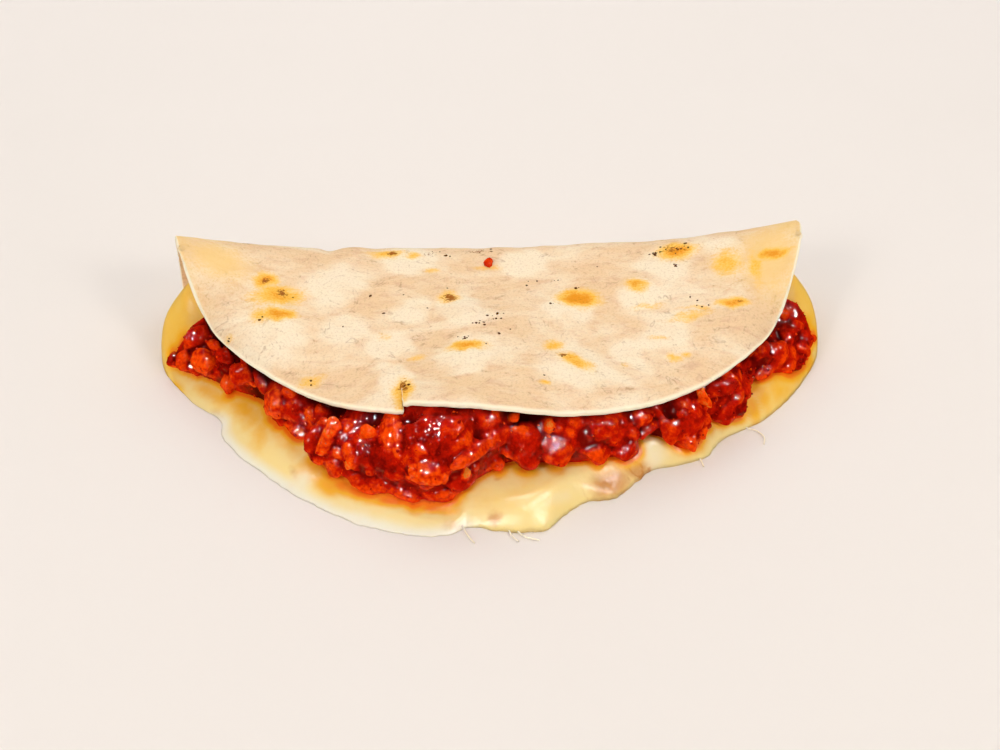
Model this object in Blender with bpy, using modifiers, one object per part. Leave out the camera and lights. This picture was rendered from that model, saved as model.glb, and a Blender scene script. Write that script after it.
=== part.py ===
"""A folded flour tortilla with melted cheese and a chopped red meat filling, at its real size.

Three solids, in layers from the table up: the folded tortilla, the melted cheese that lines it and
spills out, and the heap of meat on the cheese. X runs along the fold, +Y points to the fold and -Y to
the open side. The origin is the middle of the footprint, on the surface that the food lies on.
Sizes are in millimetres, and MM turns them into Blender's metres.
"""

import math
import random

import bmesh
import bpy
import numpy as np
from mathutils import Matrix, Vector, noise

MM = 0.001
GAP = 0.35
CLEAR = 0.25

# Tortilla: an oval sheet, folded along its long axis.
SHEET = 1.8
RIM_SHARE = 0.65
HALF_WIDTH = 81.0
UPPER_REACH = 74.5
LOWER_REACH = 78.0
LOWER_SKEW = 0.08
LEFT_FULLNESS = 2.05
RIGHT_FULLNESS = 2.2
FOLD_Y = 44.0
FOLD_HEIGHT = 20.5
FOLD_END_LIFT = 9.0
FOLD_END_POWER = 3.0
RIM_SIDE_HEIGHT = 18.0
RIM_DOME = 6.2
RIM_DOME_AT = -0.06
RIM_DOME_SPREAD = 0.26
CORNER_FROM = 0.84
CORNER_TO = 0.97
DROOP_POWER = 1.6

# The tear in the upper flap's front edge: its right lip is lifted and its left lip sags.
TEAR_X = -23.0
TEAR_LENGTH = 8.5
TEAR_WIDTH = 1.5
TEAR_LIFT = 2.1
TEAR_SAG = 0.5
TEAR_FADE = 13.0
TEAR_STEP = 0.8
TEAR_FROM = 0.80
TEAR_OVERSHOOT = 1.5

# Swellings that the griddle raised: place along X, distance from the fold line, radius and height.
SWELLINGS = (
    (-55.0, 40.0, 9.0, 0.9),
    (-10.0, 42.0, 7.0, 1.1),
    (-30.0, 46.0, 6.0, 0.6),
    (17.0, 41.0, 8.0, 0.9),
    (-8.0, 57.0, 6.5, 0.8),
    (16.0, 60.0, 9.0, 0.9),
    (44.0, 33.0, 9.0, 0.7),
    (38.0, 47.0, 7.5, 0.6),
    (62.0, 38.0, 7.0, 0.8),
    (-38.0, 30.0, 7.0, 0.6),
    (-27.0, 62.0, 7.0, 0.5),
)
CREASE_X = 66.0
CREASE_WIDTH = 3.0
CREASE_DEPTH = 0.9
WAVE_ALONG = 8.1
WAVE_ACROSS = 6.5
WAVE_HEIGHT = 0.45
RELIEF_FROM = 5.0

# Sheet grid: stations along X, and rows on the bend and on each flap.
STATIONS = 40
BEND_ROWS = 5
UPPER_ROWS = 15
LOWER_ROWS = 4
BEND_SHARE = 0.6

# Cheese: its outline in plan, anticlockwise from the right end, round a middle that both fillings share.
MIDDLE = (0.0, 5.0)
CHEESE_OUTLINE = (
    (84.5, 16.0), (84.0, 26.0), (77.0, 34.0), (-77.0, 34.0), (-84.5, 26.0), (-84.0, 16.0),
    (-76.0, 3.5), (-69.0, -3.0), (-67.5, -9.5), (-54.0, -25.0), (-43.5, -34.0), (-34.0, -39.5),
    (-13.5, -44.0), (-9.0, -41.5), (8.5, -43.5), (13.5, -39.0), (19.0, -35.0), (26.0, -34.0),
    (36.0, -25.5), (49.0, -21.5), (56.0, -14.5), (66.0, -9.0), (77.0, 2.5),
)  # fmt: skip
CHEESE_TOP = 4.8
CHEESE_EDGE = 6.0
CHEESE_SIDE_EDGE = 15.0
CHEESE_RISE_FROM = 9.0
CHEESE_RISE_TO = 27.0
CHEESE_SECTORS = 74
CHEESE_RINGS = (0.3, 0.55, 0.7, 0.8, 0.88, 0.935, 0.97, 0.99)
CHEESE_FLOOR_RINGS = (0.5, 0.75, 0.88, 0.95)

# Meat heap: its outline in plan. At the back it ends on the cheese, under the upper flap.
MEAT_OUTLINE = (
    (83.0, 14.5), (79.0, 18.5), (66.0, 22.0), (-66.0, 22.0), (-78.0, 18.0), (-82.0, 14.0),
    (-75.0, 10.5), (-68.0, 5.0), (-59.0, -1.0), (-55.5, -8.5), (-46.5, -13.0), (-45.0, -21.0),
    (-28.0, -33.0), (-14.0, -36.0), (-4.0, -30.0), (3.0, -26.5), (22.0, -26.5), (31.0, -24.0),
    (36.5, -17.5), (41.0, -21.0), (47.5, -21.0), (52.5, -13.0), (60.0, -11.5), (65.0, 1.5),
    (75.0, 4.0), (81.5, 10.0),
)  # fmt: skip
MEAT_BACK = 24.0
MEAT_EDGE = 11.0
MEAT_SHOULDER = 1.7
MEAT_END_FROM = 58.0
MEAT_END_TO = 80.0
MEAT_END_DROP = 0.8
MEAT_SECTORS = 58
MEAT_RINGS = (0.3, 0.52, 0.68, 0.8, 0.88, 0.94, 0.98)
MEAT_FLOOR_RINGS = (0.5, 0.75, 0.88, 0.95)
MEAT_LUMP = 1.1
MEAT_LUMP_WIDTH = 5.0
MEAT_TRIM = 0.8
MEAT_LEAST = 0.1
MEAT_SETBACK = 1.0

# Chopped pieces that show, in rows round the open side: share of the heap's height, and their number.
CHUNK_ROWS = ((0.16, 20), (0.42, 19), (0.68, 17), (0.9, 14))
CHUNK_FROM = math.radians(173.0)
CHUNK_TO = math.radians(367.0)
CHUNK_SIZE = (2.5, 3.8)
CHUNK_LENGTHEN = (1.0, 1.6)
CHUNK_ROUGHNESS = 0.25
CHUNK_SINK = 0.45
CHUNK_SETBACK = (1.0, 2.2)
CHUNK_CLEAR = 1.2
CHUNK_FLATNESS = (0.75, 1.05)
CHUNK_TILT = 0.6
CHUNK_GRAIN = 2.2
CHUNK_SCATTER = 0.25
CHUNK_SEED = 11

COLOURS = {
    "tortilla": ((0.83, 0.69, 0.55), 0.75),
    "melted_cheese": ((0.90, 0.68, 0.30), 0.28),
    "meat_filling": ((0.42, 0.045, 0.012), 0.25),
}


def smooth(value):
    """0 below 0, 1 above 1, and an even ease between."""
    t = np.clip(value, 0.0, 1.0)
    return t * t * (3.0 - 2.0 * t)


def fold_height(u):
    """Outer height of the fold at u, from -1 at the left end to 1 at the right end."""
    return FOLD_HEIGHT + FOLD_END_LIFT * np.abs(u) ** FOLD_END_POWER


def bend_radius(u):
    """Radius of the sheet's middle surface round the fold."""
    return (fold_height(u) - SHEET) / 2


def rim_height(u):
    """Height of the upper flap's top face along its front edge, without the tear."""
    dome = RIM_DOME * np.exp(-(((u - RIM_DOME_AT) / RIM_DOME_SPREAD) ** 2))
    to_corner = smooth((np.abs(u) - CORNER_FROM) / (CORNER_TO - CORNER_FROM))
    return (RIM_SIDE_HEIGHT + dome) * (1 - to_corner) + fold_height(u) * to_corner


def reach(u, longest):
    """Length of a flap along the sheet from the fold line, on an outline a little fuller than an oval."""
    power = np.where(u < 0, LEFT_FULLNESS, RIGHT_FULLNESS)
    return longest * np.clip(1 - np.abs(u) ** power, 0, 1) ** (1 / power)


def tear_step(x, share):
    """Height that the tear adds near the edge: up on its right lip, down on its left."""
    side = np.tanh((x - TEAR_X) / TEAR_STEP)
    fade = np.exp(-(((x - TEAR_X) / TEAR_FADE) ** 2)) * smooth((share - TEAR_FROM) / (1 - TEAR_FROM))
    return fade * np.where(side > 0, TEAR_LIFT * side, TEAR_SAG * side)


def relief(x, s):
    """Swellings, a crease near the right end and a slow wave, as height on the upper flap."""
    total = WAVE_HEIGHT * np.sin(x / WAVE_ALONG + 1.3) * np.sin(s / WAVE_ACROSS + 0.4)
    for at_x, at_s, radius, height in SWELLINGS:
        total = total + height * np.exp(-(((x - at_x) ** 2 + (s - at_s) ** 2) / radius**2))
    return total - CREASE_DEPTH * np.exp(-(((x - CREASE_X) / CREASE_WIDTH) ** 2))


def flap_height(x, s):
    """Height of the sheet's middle surface on the flat part of the upper flap."""
    u = x / HALF_WIDTH
    bend = bend_radius(u) * math.pi / 2
    share = np.clip((s - bend) / np.maximum(reach(u, UPPER_REACH) - bend, 0.5), 0, 1)
    droop = share**DROOP_POWER
    flat = fold_height(u) * (1 - droop) + rim_height(u) * droop - SHEET / 2
    return flat + tear_step(x, share) + relief(x, s) * smooth(share * RELIEF_FROM)


def sheet_point(x, s):
    """A point of the sheet's middle surface: s is the distance from the fold line, up positive."""
    u = x / HALF_WIDTH
    radius = bend_radius(u)
    bend = radius * math.pi / 2
    back = FOLD_Y - SHEET / 2
    along = abs(s)
    if along <= bend:
        turn = along / radius
        rise = radius * math.sin(turn)
        height = SHEET / 2 + radius + math.copysign(rise, s)
        return x, back - radius * (1 - math.cos(turn)), height
    y = back - radius - (along - bend)
    return x, y, float(flap_height(x, s)) if s > 0 else SHEET / 2


def underside(x, y):
    """Height of the upper flap's lower face over a point, carried on level past the flap's edge."""
    u = np.clip(x / HALF_WIDTH, -0.999, 0.999)
    radius = bend_radius(u)
    axis_y = FOLD_Y - SHEET / 2 - radius
    flat = flap_height(u * HALF_WIDTH, axis_y - y + radius * math.pi / 2) - SHEET / 2
    inner = radius - SHEET / 2
    behind = np.clip(y - axis_y, 0, inner)
    arch = SHEET / 2 + radius + np.sqrt(inner**2 - behind**2)
    return np.where(y > axis_y, arch, flat)


def floor_inside(x, y):
    """Height of the fold's inner face below its middle, and 0 in front of the fold."""
    u = np.clip(x / HALF_WIDTH, -0.999, 0.999)
    radius = bend_radius(u)
    axis_y = FOLD_Y - SHEET / 2 - radius
    inner = radius - SHEET / 2
    behind = np.clip(y - axis_y, 0, inner)
    curve = SHEET / 2 + radius - np.sqrt(inner**2 - behind**2)
    return np.where((y > axis_y) & (np.abs(x) < HALF_WIDTH), curve + GAP + CLEAR, 0.0)


def under_flap(x, y, margin=0.0):
    """True where the upper flap, widened by margin, covers the point."""
    u = np.clip(x / HALF_WIDTH, -1, 1)
    radius = bend_radius(u)
    s = FOLD_Y - SHEET / 2 - radius - y + radius * math.pi / 2
    return (s < reach(u, UPPER_REACH) + margin) & (np.abs(x) < HALF_WIDTH + margin)


def outline_reach(points, theta):
    """Distance from MIDDLE to an outline at the angles theta, eased through its points."""
    around = np.array(points) - MIDDLE
    angles = np.unwrap(np.arctan2(around[:, 1], around[:, 0]))
    radii = np.hypot(around[:, 0], around[:, 1])
    turn = 2 * math.pi
    angles = np.concatenate([angles[-2:] - turn, angles, angles[:2] + turn])
    radii = np.concatenate([radii[-2:], radii, radii[:2]])
    wrapped = (theta - angles[2]) % turn + angles[2]
    k = np.clip(np.searchsorted(angles, wrapped) - 1, 1, len(angles) - 3)
    t = (wrapped - angles[k]) / (angles[k + 1] - angles[k])
    width = angles[k + 1] - angles[k]
    slope_in = (radii[k + 1] - radii[k - 1]) / (angles[k + 1] - angles[k - 1]) * width
    slope_out = (radii[k + 2] - radii[k]) / (angles[k + 2] - angles[k]) * width
    return (
        (2 * t**3 - 3 * t**2 + 1) * radii[k]
        + (t**3 - 2 * t**2 + t) * slope_in
        + (3 * t**2 - 2 * t**3) * radii[k + 1]
        + (t**3 - t**2) * slope_out
    )


def cut_off(far, theta, back_y):
    """An outline's reach, cut off along a straight line at the back."""
    back_sine = np.maximum(np.sin(theta), 1e-3)
    return np.where(np.sin(theta) > 0, np.minimum(far, (back_y - MIDDLE[1]) / back_sine), far)


def cheese_reach(theta):
    """The cheese's outline, kept off the inner face of the fold."""
    return cut_off(outline_reach(CHEESE_OUTLINE, theta), theta, FOLD_Y - SHEET - GAP - CLEAR)


def meat_reach(theta):
    """The heap's outline, a little inside the cheese's."""
    own = cut_off(outline_reach(MEAT_OUTLINE, theta), theta, MEAT_BACK)
    return np.minimum(own, cheese_reach(theta) - MEAT_SETBACK)


def polar(x, y):
    """Angle round MIDDLE and distance from it."""
    return np.arctan2(y - MIDDLE[1], x - MIDDLE[0]), np.hypot(x - MIDDLE[0], y - MIDDLE[1])


def rounded(depth, width, power=2.0):
    """0 at an outline and 1 from width inside it, on a quarter circle, or flatter below power 2."""
    return (1 - (1 - np.clip(depth / width, 0, 1)) ** power) ** (1 / power)


def cheese_top(x, y):
    """Top of the cheese: a sheet in front that rises to fill the fold, round at its edge."""
    theta, distance = polar(x, y)
    rise = smooth((y - CHEESE_RISE_FROM) / (CHEESE_RISE_TO - CHEESE_RISE_FROM))
    floor = floor_inside(x, y)
    height = CHEESE_TOP + rise * (underside(x, y) - GAP - CLEAR - CHEESE_TOP)
    width = CHEESE_EDGE + rise * (CHEESE_SIDE_EDGE - CHEESE_EDGE)
    return floor + np.maximum(height - floor, 0) * rounded(cheese_reach(theta) - distance, width)


def heap_floor(x, y):
    """Underside of the heap, just clear of the cheese."""
    return cheese_top(x, y) + GAP


def heap_top(x, y):
    """Top of the heap: steep round its edge, and close under the upper flap."""
    theta, distance = polar(x, y)
    low = heap_floor(x, y)
    drop = MEAT_END_DROP * smooth((np.abs(x) - MEAT_END_FROM) / (MEAT_END_TO - MEAT_END_FROM))
    room = np.maximum(underside(x, y) - GAP - low, 0.2) * (1 - drop)
    return low + room * rounded(meat_reach(theta) - distance, MEAT_EDGE, MEAT_SHOULDER)


def core_floor(x, y):
    """Underside of the heap's core before it is trimmed to the cheese."""
    return heap_floor(x, y) - MEAT_TRIM


def lumpy_top(x, y):
    """Top of the heap's core, with hollows between lumps as wide as its chopped pieces."""
    places = [Vector((px, py, 0)) / MEAT_LUMP_WIDTH for px, py in zip(x, y)]
    hollows = np.array([0.5 - noise.noise(place) for place in places]) * MEAT_LUMP
    return np.maximum(heap_top(x, y) - np.maximum(hollows, 0), heap_floor(x, y) + MEAT_LEAST)


def even_angles(reach_at, count):
    """Angles whose outline points lie about evenly along the outline."""
    fine = np.linspace(0, 2 * math.pi, 2001)
    far = reach_at(fine)
    steps = np.hypot(np.diff(far * np.cos(fine)), np.diff(far * np.sin(fine)))
    along = np.concatenate([[0], np.cumsum(steps)])
    return np.interp(np.linspace(0, along[-1], count, endpoint=False), along, fine)


def object_from(name, points, faces):
    """A mesh object of these points in millimetres, with its faces pointing outwards."""
    mesh = bpy.data.meshes.new(name)
    mesh.from_pydata([Vector(p) * MM for p in points], [], faces)
    tidy = bmesh.new()
    tidy.from_mesh(mesh)
    bmesh.ops.recalc_face_normals(tidy, faces=tidy.faces)
    tidy.to_mesh(mesh)
    tidy.free()
    return bpy.data.objects.new(name, mesh)


def height_in_middle(height_at):
    """A height function's value at MIDDLE."""
    return height_at(np.array([MIDDLE[0]]), np.array([MIDDLE[1]]))[0]


def lens(name, reach_at, sectors, sides):
    """A solid between two height functions, closed where they meet at an outline.

    Each side is a height function and its rings, as shares of the way from MIDDLE to the outline.
    """
    angles = even_angles(reach_at, sectors)
    edge_x = reach_at(angles) * np.cos(angles)
    edge_y = reach_at(angles) * np.sin(angles)
    at_edge = [height_at(MIDDLE[0] + edge_x, MIDDLE[1] + edge_y) for height_at, _ in sides]
    level = (at_edge[0] + at_edge[1]) / 2
    points = list(zip(MIDDLE[0] + edge_x, MIDDLE[1] + edge_y, level))
    faces = []
    for height_at, rings in sides:
        outer = 0
        for share in reversed(rings):
            x = MIDDLE[0] + share * edge_x
            y = MIDDLE[1] + share * edge_y
            inner = len(points)
            points.extend(zip(x, y, height_at(x, y)))
            for i in range(sectors):
                j = (i + 1) % sectors
                faces.append((inner + i, outer + i, outer + j))
                faces.append((inner + i, outer + j, inner + j))
            outer = inner
        centre = len(points)
        points.append((*MIDDLE, height_in_middle(height_at)))
        faces.extend((centre, outer + i, outer + (i + 1) % sectors) for i in range(sectors))
    return object_from(name, points, faces)


def sheet_rows(end, longest_bend, rows):
    """Distances from the fold line to the edge: a few on the bend, the rest on the flap."""
    bend = min(longest_bend, end * BEND_SHARE)
    on_bend = [bend * i / BEND_ROWS for i in range(1, BEND_ROWS + 1)]
    return on_bend + [bend + (end - bend) * i / rows for i in range(1, rows + 1)]


def tortilla_surface(grow=0.0):
    """The folded sheet's middle surface, closed at its two ends by a point each, and grown all round."""
    count = BEND_ROWS * 2 + UPPER_ROWS + LOWER_ROWS + 1
    points = []
    for i in range(1, STATIONS):
        u = -math.cos(math.pi * i / STATIONS)
        x = u * (HALF_WIDTH + grow)
        bend = float(bend_radius(u)) * math.pi / 2
        low_end = float(reach(u, LOWER_REACH)) * (1 - LOWER_SKEW * u) + grow
        low = sheet_rows(low_end, bend, LOWER_ROWS)
        high = sheet_rows(float(reach(u, UPPER_REACH)) + grow, bend, UPPER_ROWS)
        places = [-s for s in reversed(low)] + [0.0] + high
        points.extend(sheet_point(x, s) for s in places)
    faces = []
    for i in range(STATIONS - 2):
        for j in range(count - 1):
            a = i * count + j
            faces.append((a, a + count, a + count + 1, a + 1))
    last = len(points) - count
    left, right = len(points), len(points) + 1
    points.append(sheet_point(-HALF_WIDTH - grow, 0.0))
    points.append(sheet_point(HALF_WIDTH + grow, 0.0))
    for j in range(count - 1):
        faces.append((left, j, j + 1))
        faces.append((right, last + j + 1, last + j))
    return object_from("tortilla", points, faces)


def give_thickness(surface, thickness, rim_share):
    """A Solidify on the middle surface, with a share of the thickness along the sheet's edge."""
    inside = surface.vertex_groups.new(name="inside_edge")
    check = bmesh.new()
    check.from_mesh(surface.data)
    inside.add([v.index for v in check.verts if not v.is_boundary], 1.0, "REPLACE")
    check.free()
    shell = surface.modifiers.new("thickness", "SOLIDIFY")
    shell.thickness = thickness * MM
    shell.offset = 0
    shell.use_even_offset = True
    shell.vertex_group = inside.name
    shell.thickness_vertex_group = rim_share


def as_mesh(thing, name):
    """A new object that holds the evaluated mesh of another, which is then removed."""
    graph = bpy.context.evaluated_depsgraph_get()
    made = bpy.data.meshes.new_from_object(thing.evaluated_get(graph))
    bpy.data.objects.remove(thing)
    made.name = name
    return bpy.data.objects.new(name, made)


def subtract(target, cutter, solver="EXACT"):
    """A Boolean difference on target that stays live."""
    cut = target.modifiers.new("cut_by_" + cutter.name, "BOOLEAN")
    cut.operation = "DIFFERENCE"
    cut.solver = solver
    cut.object = cutter


def keep_as_cutter(cutter, cutters):
    """Puts a cutter in the cutters' collection, hidden from renders."""
    cutters.objects.link(cutter)
    cutter.hide_render = True
    cutter.display_type = "WIRE"
    return cutter


def tear_cutter():
    """A thin upright wedge that opens the tear, widest at the flap's edge."""
    u = TEAR_X / HALF_WIDTH
    radius = float(bend_radius(u))
    edge_y = FOLD_Y - SHEET / 2 - radius - (float(reach(u, UPPER_REACH)) - radius * math.pi / 2)
    wedge = bpy.data.meshes.new("tear")
    shape = bmesh.new()
    bmesh.ops.create_cone(
        shape, cap_ends=True, segments=3, radius1=MM, radius2=MM, depth=FOLD_HEIGHT * MM
    )
    # A triangle of radius 1 is 1.5 long and sqrt(3) wide; its sharp corner points back from the edge.
    length = TEAR_LENGTH * TEAR_OVERSHOOT
    scale = Matrix.Diagonal((TEAR_WIDTH / math.sqrt(3), length / 1.5, 1, 1))
    place = Matrix.Translation(Vector((TEAR_X, edge_y + TEAR_LENGTH - length / 1.5, FOLD_HEIGHT)) * MM)
    bmesh.ops.transform(shape, matrix=place @ scale, verts=shape.verts)
    shape.to_mesh(wedge)
    shape.free()
    return bpy.data.objects.new("tear", wedge)


def chunk(rng, x, y):
    """One chopped piece at a place on the heap, flattened where the upper flap presses on it."""
    size = rng.uniform(*CHUNK_SIZE)
    shape = bmesh.new()
    bmesh.ops.create_icosphere(shape, subdivisions=1, radius=size)
    stretch = Matrix.Diagonal((rng.uniform(*CHUNK_LENGTHEN), 1, rng.uniform(*CHUNK_FLATNESS), 1))
    turn = Matrix.Rotation(rng.uniform(0, math.pi), 4, "Z")
    tilt = Matrix.Rotation(rng.uniform(-CHUNK_TILT, CHUNK_TILT), 4, "Y")
    bmesh.ops.transform(shape, matrix=turn @ tilt @ stretch, verts=shape.verts)
    centre_z = float(heap_top(np.array([x]), np.array([y]))[0]) - CHUNK_SINK * size
    offset = Vector((rng.uniform(0, 99), rng.uniform(0, 99), rng.uniform(0, 99)))
    for v in shape.verts:
        v.co *= 1 + CHUNK_ROUGHNESS * noise.noise(v.co / CHUNK_GRAIN + offset)
        v.co += Vector((x, y, centre_z))
    at = np.array([v.co for v in shape.verts])
    ceiling = underside(at[:, 0], at[:, 1]) - GAP
    pressed = under_flap(at[:, 0], at[:, 1], CHUNK_CLEAR)
    for v, below, most in zip(shape.verts, pressed, ceiling):
        v.co.z = min(v.co.z, most) if below else v.co.z
        v.co *= MM
    mesh = bpy.data.meshes.new("chunk")
    shape.to_mesh(mesh)
    shape.free()
    return bpy.data.objects.new("chunk", mesh)


def chunks():
    """Rows of chopped pieces round the heap's open side, evenly spaced with some scatter."""
    rng = random.Random(CHUNK_SEED)
    made = []
    for share, count in CHUNK_ROWS:
        angles = even_angles(meat_reach, 400)
        angles = np.where(angles < CHUNK_FROM, angles + 2 * math.pi, angles)
        angles = np.sort(angles[(angles > CHUNK_FROM) & (angles < CHUNK_TO)])
        depth = MEAT_EDGE * (1 - (1 - share**MEAT_SHOULDER) ** (1 / MEAT_SHOULDER))
        for i in range(count):
            place = (i + 0.5 + rng.uniform(-CHUNK_SCATTER, CHUNK_SCATTER)) / count
            theta = float(np.interp(place, np.linspace(0, 1, len(angles)), angles))
            far = float(meat_reach(np.array([theta]))[0]) - depth - rng.uniform(*CHUNK_SETBACK)
            made.append(chunk(rng, MIDDLE[0] + far * math.cos(theta), MIDDLE[1] + far * math.sin(theta)))
    return made


def paint(thing, name):
    """The object's own plain material."""
    colour, roughness = COLOURS[name]
    material = bpy.data.materials.new(name)
    material.use_nodes = True
    shader = material.node_tree.nodes["Principled BSDF"]
    shader.inputs["Base Color"].default_value = (*colour, 1)
    shader.inputs["Roughness"].default_value = roughness
    shader.inputs["Metallic"].default_value = 0
    thing.data.materials.clear()
    thing.data.materials.append(material)
    thing.data.shade_smooth()


def build_tortilla(food, cutters):
    """The folded sheet with its tear."""
    tortilla = tortilla_surface()
    food.objects.link(tortilla)
    give_thickness(tortilla, SHEET, RIM_SHARE)
    subtract(tortilla, keep_as_cutter(tear_cutter(), cutters))
    paint(tortilla, "tortilla")


def build_sheet_space(cutters):
    """The space that the sheet takes, with the gap round it."""
    space = keep_as_cutter(tortilla_surface(GAP), cutters)
    space.name = "sheet_space"
    give_thickness(space, SHEET + 2 * GAP, 1.0)
    return space


def build_cheese(food, sheet_space):
    """The melted cheese, with the space that the sheet takes cut out of it."""
    sides = ((cheese_top, CHEESE_RINGS), (floor_inside, CHEESE_FLOOR_RINGS))
    cheese = lens("melted_cheese", cheese_reach, CHEESE_SECTORS, sides)
    food.objects.link(cheese)
    subtract(cheese, sheet_space)
    paint(cheese, "melted_cheese")


def build_cheese_space(cutters):
    """The space that the cheese takes, with the gap over it."""
    sides = ((heap_floor, CHEESE_RINGS), (lambda x, y: 0 * x - GAP, CHEESE_FLOOR_RINGS))
    return keep_as_cutter(lens("cheese_space", cheese_reach, CHEESE_SECTORS, sides), cutters)


def build_meat(food, sheet_space, cheese_space):
    """The heap's core with the chopped pieces fused to it by one union, trimmed to what it lies in."""
    sides = ((lumpy_top, MEAT_RINGS), (core_floor, MEAT_FLOOR_RINGS))
    core = lens("meat_core", meat_reach, MEAT_SECTORS, sides)
    food.objects.link(core)
    pieces = bpy.data.collections.new("pieces")
    bpy.context.scene.collection.children.link(pieces)
    for piece in chunks():
        pieces.objects.link(piece)
    union = core.modifiers.new("pieces", "BOOLEAN")
    union.operation = "UNION"
    union.operand_type = "COLLECTION"
    union.solver = "MANIFOLD"
    union.collection = pieces
    bpy.context.view_layer.update()
    meat = as_mesh(core, "meat_filling")
    for piece in list(pieces.objects):
        bpy.data.objects.remove(piece)
    bpy.data.collections.remove(pieces)
    food.objects.link(meat)
    subtract(meat, cheese_space, "MANIFOLD")
    subtract(meat, sheet_space, "MANIFOLD")
    paint(meat, "meat_filling")


def main():
    """Clears the scene and builds the three solids."""
    for thing in list(bpy.data.objects):
        bpy.data.objects.remove(thing, do_unlink=True)
    food = bpy.data.collections.new("quesadilla")
    cutters = bpy.data.collections.new("cutters")
    for group in (food, cutters):
        bpy.context.scene.collection.children.link(group)
    build_tortilla(food, cutters)
    sheet_space = build_sheet_space(cutters)
    build_cheese(food, sheet_space)
    build_meat(food, sheet_space, build_cheese_space(cutters))


main()
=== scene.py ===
"""The looks of a folded quesadilla: griddled flour tortilla, melted cheese and chopped red meat.

X runs along the fold, +Y points to the fold and -Y to the open side, and Z is up. Sizes are in
millimetres, and MM turns them into Blender's metres. The surfaces follow the same formulas as the
solids that they stand for, at a finer step and with the marks of the griddle, the melt and the chop.
"""

import itertools
import logging
import math
from collections.abc import Callable, Iterable
from dataclasses import dataclass, field
from enum import Enum
from functools import partial

import bmesh
import bpy
import numpy as np
from mathutils import Matrix, Vector
from mathutils.kdtree import KDTree


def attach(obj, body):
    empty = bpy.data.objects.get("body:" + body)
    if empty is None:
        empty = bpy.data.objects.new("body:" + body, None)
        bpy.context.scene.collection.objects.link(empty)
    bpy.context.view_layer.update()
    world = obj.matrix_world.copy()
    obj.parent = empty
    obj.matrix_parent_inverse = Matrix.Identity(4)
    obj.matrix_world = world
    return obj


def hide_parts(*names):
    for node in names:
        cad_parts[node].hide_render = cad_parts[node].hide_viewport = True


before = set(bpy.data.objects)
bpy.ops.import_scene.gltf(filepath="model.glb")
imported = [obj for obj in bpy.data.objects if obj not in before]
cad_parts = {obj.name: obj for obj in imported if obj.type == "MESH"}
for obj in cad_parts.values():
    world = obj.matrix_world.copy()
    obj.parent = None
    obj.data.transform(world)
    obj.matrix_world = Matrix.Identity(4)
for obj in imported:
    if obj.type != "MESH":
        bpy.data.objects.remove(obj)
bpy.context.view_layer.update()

MM = 0.001
LOG = logging.getLogger("quesadilla")


def linear(hex_colour: str) -> tuple[float, float, float, float]:
    """Turns an sRGB hex colour into linear values.

    Args:
        hex_colour: Six hex digits.

    Returns:
        Linear red, green and blue, and an alpha of 1.
    """
    parts = [int(hex_colour[i : i + 2], 16) / 255 for i in (0, 2, 4)]
    return (*[c / 12.92 if c <= 0.04045 else ((c + 0.055) / 1.055) ** 2.4 for c in parts], 1.0)


def fill(tree: bpy.types.NodeTree, made: bpy.types.Node, inputs: dict) -> None:
    """Links each given input of a node to an output, or sets its value.

    Args:
        tree: The tree that the node is in.
        made: The node.
        inputs: For each socket, by name or index, an output to link or a value to set.
    """
    for key, value in inputs.items():
        if isinstance(value, bpy.types.NodeSocket):
            tree.links.new(value, made.inputs[key])
        else:
            made.inputs[key].default_value = value


def add_node(
    tree: bpy.types.NodeTree, kind: str, inputs: dict | None = None, out: int | str = 0, **settings: object
) -> bpy.types.NodeSocket | None:
    """Adds a node with its settings and links.

    Args:
        tree: The tree that gets the node.
        kind: The node's type name.
        inputs: For each socket, by name or index, an output to link or a value to set.
        out: The name or index of the output to give back.
        settings: The node's own properties.

    Returns:
        The output, or None for a node without one.
    """
    made = tree.nodes.new(kind)
    for name, value in settings.items():
        setattr(made, name, value)
    fill(tree, made, inputs or {})
    return made.outputs[out] if made.outputs else None


def new_material(name: str) -> tuple[bpy.types.Material, Callable]:
    """A material with its own shader, and the function that adds a node to its tree."""
    made = bpy.data.materials.new(name)
    made.use_nodes = True
    return made, partial(add_node, made.node_tree)


def set_shader(made: bpy.types.Material, inputs: dict) -> bpy.types.Material:
    """Links or sets the inputs of a material's own shader, and gives the material back."""
    fill(made.node_tree, made.node_tree.nodes["Principled BSDF"], inputs)
    return made


def layered(
    add: Callable, colour: object, layers: Iterable, ease: str = "SMOOTHSTEP"
) -> bpy.types.NodeSocket:
    """Lays tones over a base colour, each more where its value is higher.

    Args:
        add: Adds a node to the material's tree.
        colour: The base, as a colour or an output.
        layers: For each tone its value, its hex colour, where it starts and is full, and its largest share.
        ease: How the share goes from start to full.

    Returns:
        The output with the layered colour.
    """
    for value, tone, low, high, most in layers:
        ramp = {"Value": value, "From Min": low, "From Max": high, "To Max": most}
        share = add("ShaderNodeMapRange", ramp, interpolation_type=ease)
        colour = add("ShaderNodeMix", {0: share, 6: colour, 7: linear(tone)}, 2, data_type="RGBA")
    return colour


def smooth(value: np.ndarray) -> np.ndarray:
    """0 below 0, 1 above 1, and an even ease between."""
    t = np.clip(value, 0.0, 1.0)
    return t * t * (3.0 - 2.0 * t)


def bell(value: np.ndarray, width: float) -> np.ndarray:
    """1 at 0, fading evenly to both sides over the width."""
    return np.exp(-((value / width) ** 2))


def rounded(depth: np.ndarray, width: np.ndarray | float, power: float = 2.0) -> np.ndarray:
    """0 at an outline and 1 from width inside it, on a quarter circle, or flatter below power 2."""
    return (1 - (1 - np.clip(depth / width, 0, 1)) ** power) ** (1 / power)


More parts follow.
